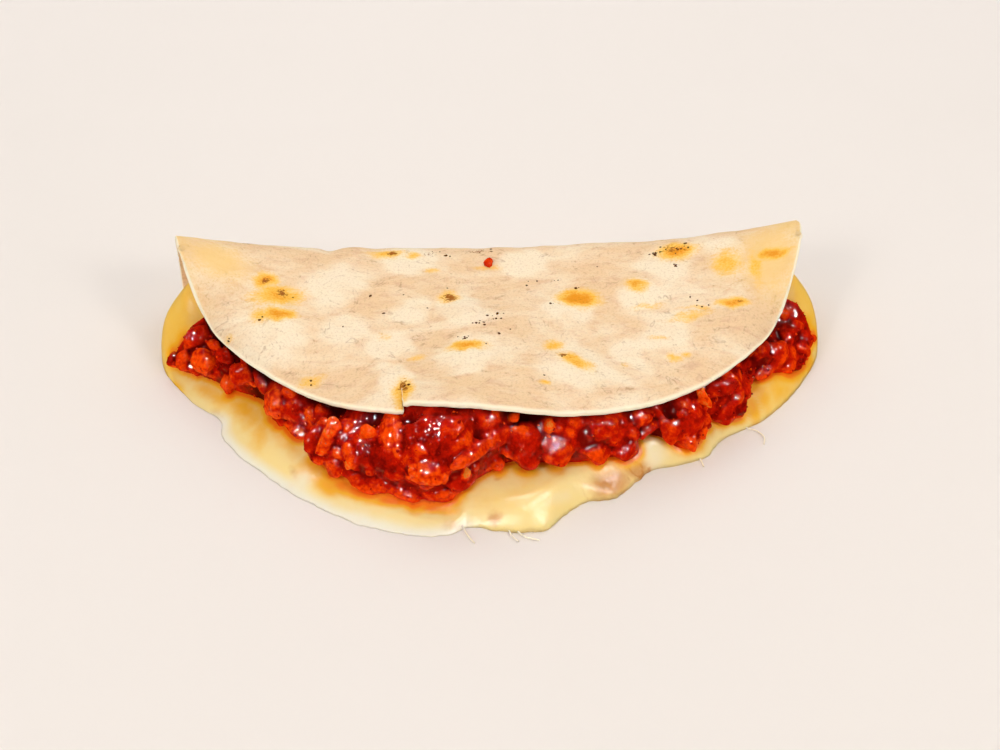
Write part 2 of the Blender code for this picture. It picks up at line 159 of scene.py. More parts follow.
def lattice_noise(points: np.ndarray, seed: int) -> np.ndarray:
    """Smooth gradient noise on a lattice of unit cells.

    Args:
        points: Places, as rows of three, in cells.
        seed: Picks one pattern of the kind.

    Returns:
        One value a place, from about -1 to 1.
    """
    cell = np.floor(points).astype(np.int64)
    inside = points - cell
    ease = inside**3 * (inside * (inside * 6 - 15) + 10)
    total = np.zeros(len(points))
    for corner in itertools.product((0, 1), repeat=3):
        at = cell + corner
        mixed = (at[:, 0] * 73856093) ^ (at[:, 1] * 19349663) ^ (at[:, 2] * 83492791) ^ (seed * 40503)
        mixed = ((mixed ^ (mixed >> 13)) * 1274126177) & 0xFFFFFFFF
        mixed = mixed ^ (mixed >> 16)
        slopes = np.stack([(mixed >> shift & 1023) / 511.5 - 1 for shift in (0, 10, 20)], axis=1)
        weight = np.where(np.array(corner) == 1, ease, 1 - ease).prod(axis=1)
        total += (slopes * (inside - corner)).sum(axis=1) * weight
    return total * 1.3


def flat_noise(x: np.ndarray, y: np.ndarray, size: float, seed: int) -> np.ndarray:
    """Noise over a plane, with lumps of the given size.

    Args:
        x: Places along one side.
        y: Places along the other.
        size: The lumps' size, in the same unit.
        seed: Picks one pattern of the kind.

    Returns:
        One value a place, from about -1 to 1.
    """
    flat_x, flat_y = np.broadcast_arrays(x, y)
    points = np.stack([flat_x.ravel() / size, flat_y.ravel() / size, np.full(flat_x.size, 0.37)], axis=1)
    return lattice_noise(points, seed).reshape(flat_x.shape)


def new_object(name: str, points: np.ndarray, faces: list) -> bpy.types.Object:
    """Makes a smooth-shaded mesh object at the origin.

    Args:
        name: The object's and the mesh's name.
        points: Places in millimetres, as rows of three.
        faces: Lists of point numbers.

    Returns:
        The object, linked to the scene.
    """
    mesh = bpy.data.meshes.new(name)
    mesh.from_pydata((np.asarray(points) * MM).tolist(), [], faces)
    mesh.update()
    mesh.shade_smooth()
    made = bpy.data.objects.new(name, mesh)
    bpy.context.scene.collection.objects.link(made)
    return made


def ring_quads(inner: np.ndarray, outer: np.ndarray) -> list:
    """Four-sided faces between two closed rings of point numbers."""
    return np.stack([inner, outer, np.roll(outer, -1), np.roll(inner, -1)], axis=-1).tolist()


def fan(centre: int, ring: np.ndarray) -> list:
    """Triangles from a point to a closed ring of point numbers."""
    return [[centre, int(i), int(j)] for i, j in zip(ring, np.roll(ring, -1))]


def nearest_of(points: np.ndarray) -> KDTree:
    """A tree that finds the nearest of these points.

    Args:
        points: Places, as rows of three.

    Returns:
        The balanced tree.
    """
    tree = KDTree(len(points))
    for i, place in enumerate(points):
        tree.insert(place, i)
    tree.balance()
    return tree


def set_attribute(made: bpy.types.Object, name: str, values: np.ndarray) -> None:
    """Gives each point of a mesh a value that its material reads."""
    layer = made.data.attributes.new(name, "FLOAT", "POINT")
    layer.data.foreach_set("value", np.ascontiguousarray(values, dtype=np.float32))


def set_sheet_uv(made: bpy.types.Object, places: np.ndarray) -> None:
    """Gives a mesh a UV map in which one unit is one millimetre along the sheet.

    Args:
        made: The sheet.
        places: x and s of its points, as rows of two.
    """
    layer = made.data.uv_layers.new(name="sheet")
    corner = np.empty(len(made.data.loops), dtype=np.int32)
    made.data.loops.foreach_get("vertex_index", corner)
    layer.data.foreach_set("uv", places[corner].astype(np.float32).ravel())


def point_places(made: bpy.types.Object) -> np.ndarray:
    """The points of a mesh in millimetres, as rows of three."""
    flat = np.empty(len(made.data.vertices) * 3)
    made.data.vertices.foreach_get("co", flat)
    return flat.reshape(-1, 3) / MM


def point_normals(made: bpy.types.Object) -> np.ndarray:
    """The unit normals at the points of a mesh, as rows of three."""
    flat = np.empty(len(made.data.vertices) * 3)
    made.data.vertices.foreach_get("normal", flat)
    return flat.reshape(-1, 3)


def baked(made: bpy.types.Object) -> bpy.types.Object:
    """Turns an object's modifiers into plain mesh.

    Args:
        made: An object with modifiers.

    Returns:
        The same object, without modifiers.
    """
    graph = bpy.context.evaluated_depsgraph_get()
    result = bpy.data.meshes.new_from_object(made.evaluated_get(graph))
    made.modifiers.clear()
    before = made.data
    made.data = result
    bpy.data.meshes.remove(before)
    return made


def normals_of(points: np.ndarray, quads: np.ndarray) -> np.ndarray:
    """Unit normals at the points of a surface of four-sided faces.

    Args:
        points: Places, as rows of three.
        quads: Point numbers, as rows of four.

    Returns:
        Rows of three.
    """
    a, b, c, d = (points[quads[:, i]] for i in range(4))
    each = np.cross(c - a, d - b)
    total = np.zeros_like(points)
    for i in range(4):
        np.add.at(total, quads[:, i], each)
    return total / np.maximum(np.linalg.norm(total, axis=1, keepdims=True), 1e-9)


def run_tree(made: bpy.types.Object, tree: bpy.types.NodeTree, values: dict) -> bpy.types.Object:
    """Runs a Geometry Nodes tree on an object and keeps the result as plain mesh.

    Args:
        made: The object that the tree starts from.
        tree: The tree.
        values: The tree's input values, by name.

    Returns:
        The same object, at the origin and without modifiers.
    """
    holder = made.modifiers.new(tree.name, "NODES")
    holder.node_group = tree
    for item in tree.interface.items_tree:
        if item.item_type == "SOCKET" and item.in_out == "INPUT" and item.name in values:
            holder[item.identifier] = values[item.name]
    return baked(made)


def tree_with_inputs(name: str, floats: tuple, seeded: bool) -> bpy.types.NodeTree:
    """Makes an empty Geometry Nodes tree with named inputs.

    Args:
        name: The tree's name.
        floats: Names of its number inputs.
        seeded: Whether it has a Seed input.

    Returns:
        The tree, with a Start input, a Finish material input and a Result output.
    """
    tree = bpy.data.node_groups.new(name, "GeometryNodeTree")
    tree.is_modifier = True
    sockets = [("Start", "Geometry"), *[(each, "Float") for each in floats]]
    sockets += [("Seed", "Int")] * seeded + [("Finish", "Material")]
    for each, kind in sockets:
        tree.interface.new_socket(each, in_out="INPUT", socket_type="NodeSocket" + kind)
    tree.interface.new_socket("Result", in_out="OUTPUT", socket_type="NodeSocketGeometry")
    return tree


def grain_tree() -> bpy.types.NodeTree:
    """Geometry Nodes that put one uneven grain on each point of a mesh.

    Each point's own scale value sizes its grain.

    Returns:
        The tree.
    """
    tree = tree_with_inputs("grains_on_points", ("Radius", "Flatness", "Lean", "Unevenness"), True)
    add = partial(add_node, tree)
    given = add("NodeGroupInput").node.outputs
    radius, lean, seed = given["Radius"], given["Lean"], given["Seed"]
    ball = add("GeometryNodeMeshIcoSphere", {"Radius": radius, "Subdivisions": 2})
    own_scale = add("GeometryNodeInputNamedAttribute", {"Name": "scale"}, data_type="FLOAT")
    either_way = {0: (-1.0, -1.0, -1.0), 1: (1.0, 1.0, 1.0), "Seed": seed}
    spin = add("FunctionNodeRandomValue", either_way, data_type="FLOAT_VECTOR")
    most = add("ShaderNodeCombineXYZ", {"X": lean, "Y": lean, "Z": math.pi})
    turned = add("ShaderNodeVectorMath", {0: spin, 1: most}, operation="MULTIPLY")
    long = add("FunctionNodeRandomValue", {2: 0.8, 3: 1.7, "Seed": seed}, 1, data_type="FLOAT")
    shape = add("ShaderNodeCombineXYZ", {"X": long, "Y": 1.0, "Z": given["Flatness"]})
    sized = add("ShaderNodeVectorMath", {0: shape, "Scale": own_scale}, operation="SCALE")
    placing = {"Points": given["Start"], "Instance": ball, "Rotation": turned, "Scale": sized}
    placed = add("GeometryNodeInstanceOnPoints", placing)
    real = add("GeometryNodeRealizeInstances", {"Geometry": placed})
    fine = add("ShaderNodeMath", {0: 0.7, 1: radius}, operation="DIVIDE")
    field_of_bumps = {"Vector": add("GeometryNodeInputPosition"), "Scale": fine, "Detail": 1.0}
    bumps = add("ShaderNodeTexNoise", field_of_bumps, "Color")
    centred = add("ShaderNodeVectorMath", {0: bumps, 1: (0.5, 0.5, 0.5)}, operation="SUBTRACT")
    reach = add("ShaderNodeMath", {0: given["Unevenness"], 1: radius}, operation="MULTIPLY")
    push = add("ShaderNodeVectorMath", {0: centred, "Scale": reach}, operation="SCALE")
    moved = add("GeometryNodeSetPosition", {"Geometry": real, "Offset": push})
    return finished(tree, moved, given["Finish"])


def finished(
    tree: bpy.types.NodeTree, result: bpy.types.NodeSocket, finish: bpy.types.NodeSocket
) -> bpy.types.NodeTree:
    """Ends a Geometry Nodes tree with smooth shading and a material.

    Args:
        tree: The tree.
        result: The output with its geometry.
        finish: The output with its material.

    Returns:
        The tree.
    """
    shaded = add_node(tree, "GeometryNodeSetShadeSmooth", {"Geometry": result})
    dressed = add_node(tree, "GeometryNodeSetMaterial", {"Geometry": shaded, "Material": finish})
    add_node(tree, "NodeGroupOutput", {"Result": dressed})
    return tree


def grains(
    name: str, places: np.ndarray, scale: np.ndarray, shape: tuple, finish: bpy.types.Material,
    own: dict | None = None,
) -> bpy.types.Object:  # fmt: skip
    """Puts a small uneven grain on each place.

    Args:
        name: The piece's name.
        places: Places in millimetres, as rows of three.
        scale: Each grain's size against the radius.
        shape: Their radius in millimetres, flatness, lean, unevenness and seed.
        finish: Their material.
        own: Further values of each grain that its material reads, by name.

    Returns:
        One mesh object with all the grains.
    """
    made = new_object(name, places, [])
    set_attribute(made, "scale", scale)
    for key, each in (own or {}).items():
        set_attribute(made, key, each)
    values = dict(zip(("Radius", "Flatness", "Lean", "Unevenness", "Seed"), shape), Finish=finish)
    values["Radius"] *= MM
    return run_tree(made, grain_tree(), values)


def strand_tree() -> bpy.types.NodeTree:
    """Geometry Nodes that turn lines of points into round strands.

    Returns:
        The tree.
    """
    tree = tree_with_inputs("strands_on_lines", ("Radius", "Step"), False)
    add = partial(add_node, tree)
    given = add("NodeGroupInput").node.outputs
    line = add("GeometryNodeMeshToCurve", {"Mesh": given["Start"]})
    eased = add("GeometryNodeCurveSplineType", {"Curve": line}, spline_type="CATMULL_ROM")
    even = add("GeometryNodeResampleCurve", {"Curve": eased, "Length": given["Step"]}, mode="LENGTH")
    section = add("GeometryNodeCurvePrimitiveCircle", {"Resolution": 10, "Radius": given["Radius"]})
    skin = add("GeometryNodeCurveToMesh", {"Curve": even, "Profile Curve": section, "Fill Caps": True})
    return finished(tree, add("GeometryNodeRealizeInstances", {"Geometry": skin}), given["Finish"])


def strands(name: str, lines: tuple, values: dict) -> bpy.types.Object:
    """Lays strands along lines of points.

    Args:
        name: The piece's name.
        lines: For each strand, its points in millimetres.
        values: The tree's input values, by name.

    Returns:
        One mesh object with all the strands.
    """
    points = np.concatenate([np.array(line, dtype=float) for line in lines])
    edges, start = [], 0
    for line in lines:
        edges += [(start + k, start + k + 1) for k in range(len(line) - 1)]
        start += len(line)
    mesh = bpy.data.meshes.new(name)
    mesh.from_pydata((points * MM).tolist(), edges, [])
    made = bpy.data.objects.new(name, mesh)
    bpy.context.scene.collection.objects.link(made)
    set_attribute(made, "thin", np.ones(len(points)))
    return run_tree(made, strand_tree(), values)


class Slot(Enum):
    """The pieces' material slots."""

    TORTILLA = "tortilla"
    CHEESE = "cheese"
    MEAT = "meat"


@dataclass(frozen=True)
class Mark:
    """A stain, a toast spot or a blister on the sheet: its place, its size and how strong it is.

    x is along the fold and s is the distance from the fold line along the upper flap. The mark is long
    by wide, turned by turn degrees.
    """

    x: float
    s: float
    long: float
    wide: float
    strength: float = 1.0
    turn: float = 0.0

    def over(self, x: np.ndarray, s: np.ndarray) -> np.ndarray:
        """The mark's strength at places on the sheet, fading evenly from its middle.

        Args:
            x: Places along the fold.
            s: Places across it.

        Returns:
            One value a place.
        """
        cos, sin = math.cos(math.radians(self.turn)), math.sin(math.radians(self.turn))
        along = ((x - self.x) * cos + (s - self.s) * sin) / (self.long / 2)
        across = ((s - self.s) * cos - (x - self.x) * sin) / (self.wide / 2)
        return self.strength * np.exp(-(along**2 + across**2) * 0.7)


def rows_of(kind: type, rows: tuple) -> tuple:
    """One object of a kind for each row of its values."""
    return tuple(kind(*row) for row in rows)


@dataclass(frozen=True)
class GriddledFlour:
    """Wheat flour tortilla, cooked dry on a griddle.

    Matte and a little translucent, cream where it blistered off the griddle and pinkish beige where it
    lay on it, with fine flour mottling, thin creases, and yellow to brown toast on the blisters.
    """

    cream: str = "f7e5c9"
    beige: str = "edcba1"
    pinkish: str = "dcb08e"
    crease: str = "a97f55"
    oily: str = "f5cd84"
    scorch: str = "fac33f"
    toast: str = "ee9508"
    brown: str = "964c0b"
    char: str = "24150c"
    rim: str = "fdf2d8"
    roughness: float = 0.62
    blotch: float = 11.0
    streak: float = 2.4
    grain: float = 0.6
    crease_span: float = 10.0
    crease_width: float = 0.014
    crease_share: float = 0.42
    stretch: tuple = (0.6, 1.15, 1.0)

    def material(self) -> bpy.types.Material:
        """Builds the material.

        Returns:
            A material that reads the sheet's UV map and its pale, toast, brown, char, oil and rim values.
        """
        made, add = new_material("griddled_flour_tortilla")
        sheet = add("ShaderNodeUVMap", uv_map="sheet")
        value = {}
        for name in ("pale", "toast", "brown", "char", "oil", "rim"):
            value[name] = add("ShaderNodeAttribute", {}, "Fac", attribute_name=name)
        stretched = add("ShaderNodeMapping", {"Vector": sheet, "Scale": self.stretch})
        noise = []
        for over, size, detail, rough, bent in (
            (stretched, self.blotch, 4.0, 0.62, 0.5),
            (stretched, self.streak, 4.0, 0.65, 0.8),
            (sheet, self.grain, 2.0, 0.7, 0.0),
            (sheet, self.crease_span, 3.0, 0.5, 0.9),
        ):
            wanted = {"Scale": 1 / size, "Detail": detail, "Roughness": rough, "Distortion": bent}
            noise.append(add("ShaderNodeTexNoise", {"Vector": over, **wanted}))
        blotch, streak, grain, lines = noise
        off_line = add("ShaderNodeMath", {0: lines, 1: 0.5}, operation="SUBTRACT")
        off_line = add("ShaderNodeMath", {0: off_line}, operation="ABSOLUTE")
        narrow = {"Value": off_line, "From Max": self.crease_width, "To Min": 1.0, "To Max": 0.0}
        on_line = add("ShaderNodeMapRange", narrow, interpolation_type="SMOOTHSTEP")
        broken = add("ShaderNodeMapRange", {"Value": streak, "From Min": 0.48, "From Max": 0.58})
        crease = add("ShaderNodeMath", {0: on_line, 1: broken}, operation="MULTIPLY")
        beige = add("ShaderNodeMath", {0: blotch, 1: value["pale"]}, operation="SUBTRACT")
        beige_ramp = {"Value": beige, "From Min": 0.24, "From Max": 0.62}
        beige = add("ShaderNodeMapRange", beige_ramp, interpolation_type="SMOOTHSTEP")
        pink_ramp = {"Value": streak, "From Min": 0.48, "From Max": 0.7, "To Max": 0.7}
        pink = add("ShaderNodeMapRange", pink_ramp, interpolation_type="SMOOTHSTEP")
        pink = add("ShaderNodeMath", {0: pink, 1: beige}, operation="MULTIPLY")
        mottled = {"Value": grain, "From Min": 0.5, "From Max": 0.78, "To Max": 0.36}
        mottle = add("ShaderNodeMapRange", mottled)
        in_crease = add("ShaderNodeMath", {0: crease, 1: self.crease_share}, operation="MULTIPLY")
        tones = [
            (beige, self.beige), (pink, self.pinkish), (mottle, self.crease), (in_crease, self.crease),
            (value["rim"], self.rim),
        ]  # fmt: skip
        ragged = add("ShaderNodeMath", {0: streak, 1: grain}, operation="ADD")
        ragged = add("ShaderNodeMath", {0: ragged, 1: 1.0}, operation="SUBTRACT")
        for name, tone, low, high, most, breakup in (
            ("oil", self.oily, 0.10, 0.9, 0.85, 0.5),
            ("toast", self.scorch, 0.1, 0.6, 0.9, 0.4),
            ("toast", self.toast, 0.42, 1.0, 0.95, 0.7),
            ("brown", self.brown, 0.38, 0.72, 0.9, 1.3),
            ("char", self.char, 0.55, 0.66, 1.0, 2.2),
        ):
            uneven = add("ShaderNodeMath", {0: ragged, 1: breakup, 2: value[name]}, operation="MULTIPLY_ADD")
            ramp = {"Value": uneven, "From Min": low, "From Max": high, "To Max": most}
            share = add("ShaderNodeMapRange", ramp, interpolation_type="SMOOTHSTEP")
            near = add("ShaderNodeMapRange", {"Value": value[name], "From Min": 0.02, "From Max": 0.2})
            tones.append((add("ShaderNodeMath", {0: share, 1: near}, operation="MULTIPLY"), tone))
        flour = linear(self.cream)
        for share, tone in tones:
            flour = add("ShaderNodeMix", {0: share, 6: flour, 7: linear(tone)}, 2, data_type="RGBA")
        height = add("ShaderNodeMath", {0: streak, 1: 0.55, 2: grain}, operation="MULTIPLY_ADD")
        height = add("ShaderNodeMath", {0: crease, 1: -0.9, 2: height}, operation="MULTIPLY_ADD")
        inputs = {
            "Base Color": flour,
            "Normal": add("ShaderNodeBump", {"Height": height, "Strength": 0.35, "Distance": 0.25 * MM}),
            "Roughness": self.roughness,
            "IOR": 1.45,
            "Specular IOR Level": 0.06,
            "Subsurface Weight": 0.18,
            "Subsurface Radius": (1.0, 0.6, 0.35),
            "Subsurface Scale": 1.2 * MM,
        }
        return set_shader(made, inputs)


@dataclass(frozen=True)
class MeltedCheeseFinish:
    """Mild cow's milk cheese, melted and set to a skin.

    Smooth, wet with its own fat and softly translucent: cream in front, yellow where it is thick,
    stained orange by the meat's fat, and browned with small bubble rings where it fried.
    """

    cream: str = "ffe19a"
    pale: str = "fff1d4"
    thin: str = "fff6df"
    yellow: str = "ffc952"
    fat: str = "ffb81c"
    stain: str = "ff7d05"
    sauce: str = "d83104"
    fried: str = "c4701a"
    roughness: float = 0.36
    ripple: float = 6.0
    curd: float = 1.8

    def material(self) -> bpy.types.Material:
        """Builds the material.

        Returns:
            A material that reads the piece's thick, stain, fried, pale and thin values.
        """
        made, add = new_material("melted_white_cheese")
        place = add("ShaderNodeTexCoord", {}, "Object")
        waves = {"Vector": place, "Scale": 1 / (self.ripple * MM), "Detail": 3.0, "Roughness": 0.55}
        ripple = add("ShaderNodeTexNoise", waves)
        curds = {"Vector": place, "Scale": 1 / (self.curd * MM), "Detail": 3.0, "Roughness": 0.6}
        curd = add("ShaderNodeTexNoise", curds)
        centred = add("ShaderNodeMath", {0: ripple, 1: 0.5}, operation="SUBTRACT")
        layers = []
        for name, tone, low, high, most, breakup in (
            ("pale", self.pale, 0.2, 0.9, 0.9, 0.5),
            ("thin", self.thin, 0.1, 1.0, 0.9, 0.3),
            ("thick", self.yellow, 0.1, 1.0, 1.0, 0.5),
            ("fried", self.fried, 0.2, 0.9, 0.8, 0.9),
            ("stain", self.fat, 0.06, 0.5, 0.95, 0.4),
            ("stain", self.stain, 0.45, 0.9, 0.95, 0.5),
            ("stain", self.sauce, 0.95, 1.3, 0.95, 0.5),
        ):
            value = add("ShaderNodeAttribute", {}, "Fac", attribute_name=name)
            uneven = add("ShaderNodeMath", {0: centred, 1: breakup, 2: value}, operation="MULTIPLY_ADD")
            layers.append((uneven, tone, low, high, most))
        height = add("ShaderNodeMath", {0: ripple, 1: 1.6, 2: curd}, operation="MULTIPLY_ADD")
        inputs = {
            "Base Color": layered(add, linear(self.cream), layers),
            "Normal": add("ShaderNodeBump", {"Height": height, "Strength": 0.25, "Distance": 0.4 * MM}),
            "Roughness": self.roughness,
            "IOR": 1.46,
            "Specular IOR Level": 0.15,
            "Subsurface Weight": 0.35,
            "Subsurface Radius": (1.0, 0.8, 0.45),
            "Subsurface Scale": 2.5 * MM,
        }
        return set_shader(made, inputs)


@dataclass(frozen=True)
class RedStewedMeat:
    """Pork chopped small and stewed in red chilli sauce.

    Each piece has its own tone, from deep red to orange, under a wet film of sauce and fat that breaks
    the light into many small glints. The hollows and the places under the upper flap's edge are painted
    near black, partly for the sauce that pools there and partly as painted shade.
    """

    # Near black, for pooled sauce and for painted shade.
    sauce_and_shade: str = "240101"
    deep: str = "7c0903"
    red: str = "c61803"
    orange: str = "fb4c04"
    tan: str = "ec8c30"
    roughness: float = 0.5
    fibre: float = 2.6
    grain: float = 0.7
    dimple: float = 1.6

    def material(self) -> bpy.types.Material:
        """Builds the material.

        Returns:
            A material that reads the piece's tone and hollow values.
        """
        made, add = new_material("red_stewed_pork")
        place = add("ShaderNodeTexCoord", {}, "Object")
        tone = add("ShaderNodeAttribute", {}, "Fac", attribute_name="tone")
        sauce_and_shade = add("ShaderNodeAttribute", {}, "Fac", attribute_name="sauce_and_shade")
        strands_of_it = {"Vector": place, "Scale": 1 / (self.fibre * MM), "Detail": 3.0, "Roughness": 0.65}
        fibre = add("ShaderNodeTexNoise", strands_of_it)
        grains_of_it = {"Vector": place, "Scale": 1 / (self.grain * MM), "Detail": 2.0, "Roughness": 0.6}
        grain = add("ShaderNodeTexNoise", grains_of_it)
        dimple = add("ShaderNodeTexNoise", {"Vector": place, "Scale": 1 / (self.dimple * MM), "Detail": 0.0})
        mottle = add("ShaderNodeMath", {0: grain, 1: 0.4, 2: fibre}, operation="MULTIPLY_ADD")
        varied = add("ShaderNodeMath", {0: mottle, 1: 0.7}, operation="SUBTRACT")
        varied = add("ShaderNodeMath", {0: varied, 1: 0.85, 2: tone}, operation="MULTIPLY_ADD")
        flesh = (
            (varied, self.red, 0.12, 0.42, 1.0),
            (varied, self.orange, 0.44, 0.76, 1.0),
            (varied, self.tan, 0.84, 1.02, 1.0),
        )
        colour = layered(add, linear(self.deep), flesh, "LINEAR")
        wetness = {"Value": sauce_and_shade, "From Min": 0.3, "From Max": 1.0, "To Min": 0.62, "To Max": 0.0}
        # The near-black tone follows the mask: partly the sauce that pools in the crevices, and partly
        # painted shade there and under the upper flap's edge.
        inputs = {
            "Base Color": layered(add, colour, [(sauce_and_shade, self.sauce_and_shade, 0.1, 0.95, 0.94)]),
            "Normal": add("ShaderNodeBump", {"Height": mottle, "Strength": 0.5, "Distance": 0.45 * MM}),
            "Coat Normal": add("ShaderNodeBump", {"Height": dimple, "Strength": 0.8, "Distance": 0.8 * MM}),
            "Coat Weight": add("ShaderNodeMapRange", wetness),
            "Coat IOR": 1.4,
            "Coat Roughness": 0.07,
            "Roughness": self.roughness,
            "IOR": 1.36,
            "Specular IOR Level": 0.0,
            "Subsurface Weight": 0.15,
            "Subsurface Radius": (1.0, 0.25, 0.08),
            "Subsurface Scale": 1.0 * MM,
        }
        return set_shader(made, inputs)


@dataclass
class Tortilla:
    """The folded oval sheet, with its fold, flaps, tear, swellings and griddle marks."""

    sheet: float = 1.8
    rim_share: float = 0.65
    half_width: float = 81.0
    upper_reach: float = 74.5
    lower_reach: float = 78.0
    lower_skew: float = 0.08
    left_fullness: float = 2.05
    right_fullness: float = 2.2
    fold_y: float = 44.0
    fold_middle_height: float = 20.5
    fold_end_lift: float = 9.0
    fold_end_power: float = 3.0
    rim_side_height: float = 18.0
    rim_dome: float = 6.2
    rim_dome_at: float = -0.06
    rim_dome_spread: float = 0.26
    corner_from: float = 0.84
    corner_to: float = 0.97
    droop_power: float = 1.6
    tear_x: float = -23.0
    tear_length: float = 6.5
    tear_width: float = 0.45
    tear_lift: float = 2.1
    tear_sag: float = 0.5
    tear_fade: float = 13.0
    tear_step: float = 0.8
    tear_from: float = 0.80
    crease_x: float = 66.0
    crease_width: float = 3.0
    crease_depth: float = 0.9
    wave_along: float = 8.1
    wave_across: float = 6.5
    wave_height: float = 0.45
    relief_from: float = 5.0
    swellings: tuple = (
        (-55.0, 40.0, 9.0, 0.9),
        (-10.0, 42.0, 7.0, 1.1),
        (-30.0, 46.0, 6.0, 0.6),
        (17.0, 41.0, 8.0, 0.9),
        (-8.0, 57.0, 6.5, 0.8),
        (16.0, 60.0, 9.0, 0.9),
        (44.0, 33.0, 9.0, 0.7),
        (38.0, 47.0, 7.5, 0.6),
        (62.0, 38.0, 7.0, 0.8),
        (-38.0, 30.0, 7.0, 0.6),
        (-27.0, 62.0, 7.0, 0.5),
    )
    stations: int = 350
    bend_rows: int = 26
    upper_rows: int = 150
    lower_rows: int = 14
    bend_share: float = 0.6
    inside: float = 0.999
    tear_spread: float = 1.6
    tear_jag: float = 0.25
    lip_away: float = 0.6
    edge_ragged: tuple = ((0.3, 5.0, 3), (0.12, 1.6, 4))
    edge_bulge: float = 0.28
    thin_from: float = 4.0
    relief_inset: float = 3.0
    rim_width: float = 1.1
    under_skip: int = 5
    finish: GriddledFlour = field(default_factory=GriddledFlour)

    def fold_height(self, u: np.ndarray) -> np.ndarray:
        """Outer height of the fold at u, from -1 at the left end to 1 at the right end."""
        return self.fold_middle_height + self.fold_end_lift * np.abs(u) ** self.fold_end_power

    def bend_radius(self, u: np.ndarray) -> np.ndarray:
        """Radius of the sheet's middle surface round the fold."""
        return (self.fold_height(u) - self.sheet) / 2

    def rim_height(self, u: np.ndarray) -> np.ndarray:
        """Height of the upper flap's top face along its front edge, without the tear.

        Args:
            u: Places from -1 at the left end to 1 at the right end.

        Returns:
            Heights in millimetres.
        """
        dome = self.rim_dome * bell(u - self.rim_dome_at, self.rim_dome_spread)
        corner = smooth((np.abs(u) - self.corner_from) / (self.corner_to - self.corner_from))
        return (self.rim_side_height + dome) * (1 - corner) + self.fold_height(u) * corner

    def reach(self, u: np.ndarray, longest: float) -> np.ndarray:
        """Length of a flap along the sheet from the fold line."""
        power = np.where(u < 0, self.left_fullness, self.right_fullness)
        return longest * np.clip(1 - np.abs(u) ** power, 0, 1) ** (1 / power)

    def tear_rise(self, x: np.ndarray, share: np.ndarray) -> np.ndarray:
        """Height that the tear adds near the edge: up on its right lip, down on its left.

        Args:
            x: Places along the fold.
            share: Places from 0 at the bend to 1 at the edge.

        Returns:
            Heights in millimetres.
        """
        side = np.tanh((x - self.tear_x) / self.tear_step)
        fade = bell(x - self.tear_x, self.tear_fade)
        fade = fade * smooth((share - self.tear_from) / (1 - self.tear_from))
        return fade * np.where(side > 0, self.tear_lift * side, self.tear_sag * side)

    def relief(self, x: np.ndarray, s: np.ndarray) -> np.ndarray:
        """Swellings, a crease near the right end and a slow wave, as height on the upper flap.

        Args:
            x: Places along the fold.
            s: Distances from the fold line.

        Returns:
            Heights in millimetres.
        """
        wave = np.sin(x / self.wave_along + 1.3) * np.sin(s / self.wave_across + 0.4)
        total = self.wave_height * wave
        for at_x, at_s, radius, height in self.swellings:
            total = total + height * np.exp(-(((x - at_x) ** 2 + (s - at_s) ** 2) / radius**2))
        return total - self.crease_depth * bell(x - self.crease_x, self.crease_width)

    def flap_height(self, x: np.ndarray, s: np.ndarray) -> np.ndarray:
        """Height of the sheet's middle surface on the flat part of the upper flap.

        Args:
            x: Places along the fold.
            s: Distances from the fold line.

        Returns:
            Heights in millimetres.
        """
        u = x / self.half_width
        bend = self.bend_radius(u) * math.pi / 2
        share = np.clip((s - bend) / np.maximum(self.reach(u, self.upper_reach) - bend, 0.5), 0, 1)
        droop = share**self.droop_power
        flat = self.fold_height(u) * (1 - droop) + self.rim_height(u) * droop - self.sheet / 2
        return flat + self.tear_rise(x, share) + self.relief(x, s) * smooth(share * self.relief_from)

    def place(self, x: np.ndarray, s: np.ndarray) -> np.ndarray:
        """Places on the sheet's middle surface.

        Args:
            x: Places along the fold.
            s: Distances from the fold line, up positive.

        Returns:
            Places in space, with x, y and z along the last axis.
        """
        u = x / self.half_width
        radius = self.bend_radius(u)
        bend = radius * math.pi / 2
        back = self.fold_y - self.sheet / 2
        along = np.abs(s)
        turn = np.clip(along / radius, 0, math.pi / 2)
        on_bend = along <= bend
        y = np.where(on_bend, back - radius * (1 - np.cos(turn)), back - radius - (along - bend))
        round_z = self.sheet / 2 + radius + np.sign(s) * radius * np.sin(turn)
        flat_z = np.where(s > 0, self.flap_height(x, s), self.sheet / 2)
        return np.stack([x, y, np.where(on_bend, round_z, flat_z)], axis=-1)

    def inner_bend(self, x: np.ndarray, y: np.ndarray) -> tuple:
        """The fold's inner face at a point: u, the bend's radius, its axis in y and its half height.

        Args:
            x: Places along the fold.
            y: Places across it.

        Returns:
            One array each, in that order.
        """
        u = np.clip(x / self.half_width, -self.inside, self.inside)
        radius = self.bend_radius(u)
        axis_y = self.fold_y - self.sheet / 2 - radius
        inner = radius - self.sheet / 2
        behind = np.clip(y - axis_y, 0, inner)
        return u, radius, axis_y, np.sqrt(inner**2 - behind**2)

    def underside(self, x: np.ndarray, y: np.ndarray) -> np.ndarray:
        """Height of the upper flap's lower face, carried on level past the flap's edge.

        Args:
            x: Places along the fold.
            y: Places across it.

        Returns:
            Heights in millimetres.
        """
        u, radius, axis_y, half = self.inner_bend(x, y)
        flat = self.flap_height(u * self.half_width, axis_y - y + radius * math.pi / 2) - self.sheet / 2
        return np.where(y > axis_y, self.sheet / 2 + radius + half, flat)

    def inner_floor(self, x: np.ndarray, y: np.ndarray, clear: float) -> np.ndarray:
        """Height of the fold's inner face below its middle, and 0 in front of the fold.

        Args:
            x: Places along the fold.
            y: Places across it.
            clear: What is added within the fold.

        Returns:
            Heights in millimetres.
        """
        _, radius, axis_y, half = self.inner_bend(x, y)
        within = (y > axis_y) & (np.abs(x) < self.half_width)
        return np.where(within, self.sheet / 2 + radius - half + clear, 0.0)

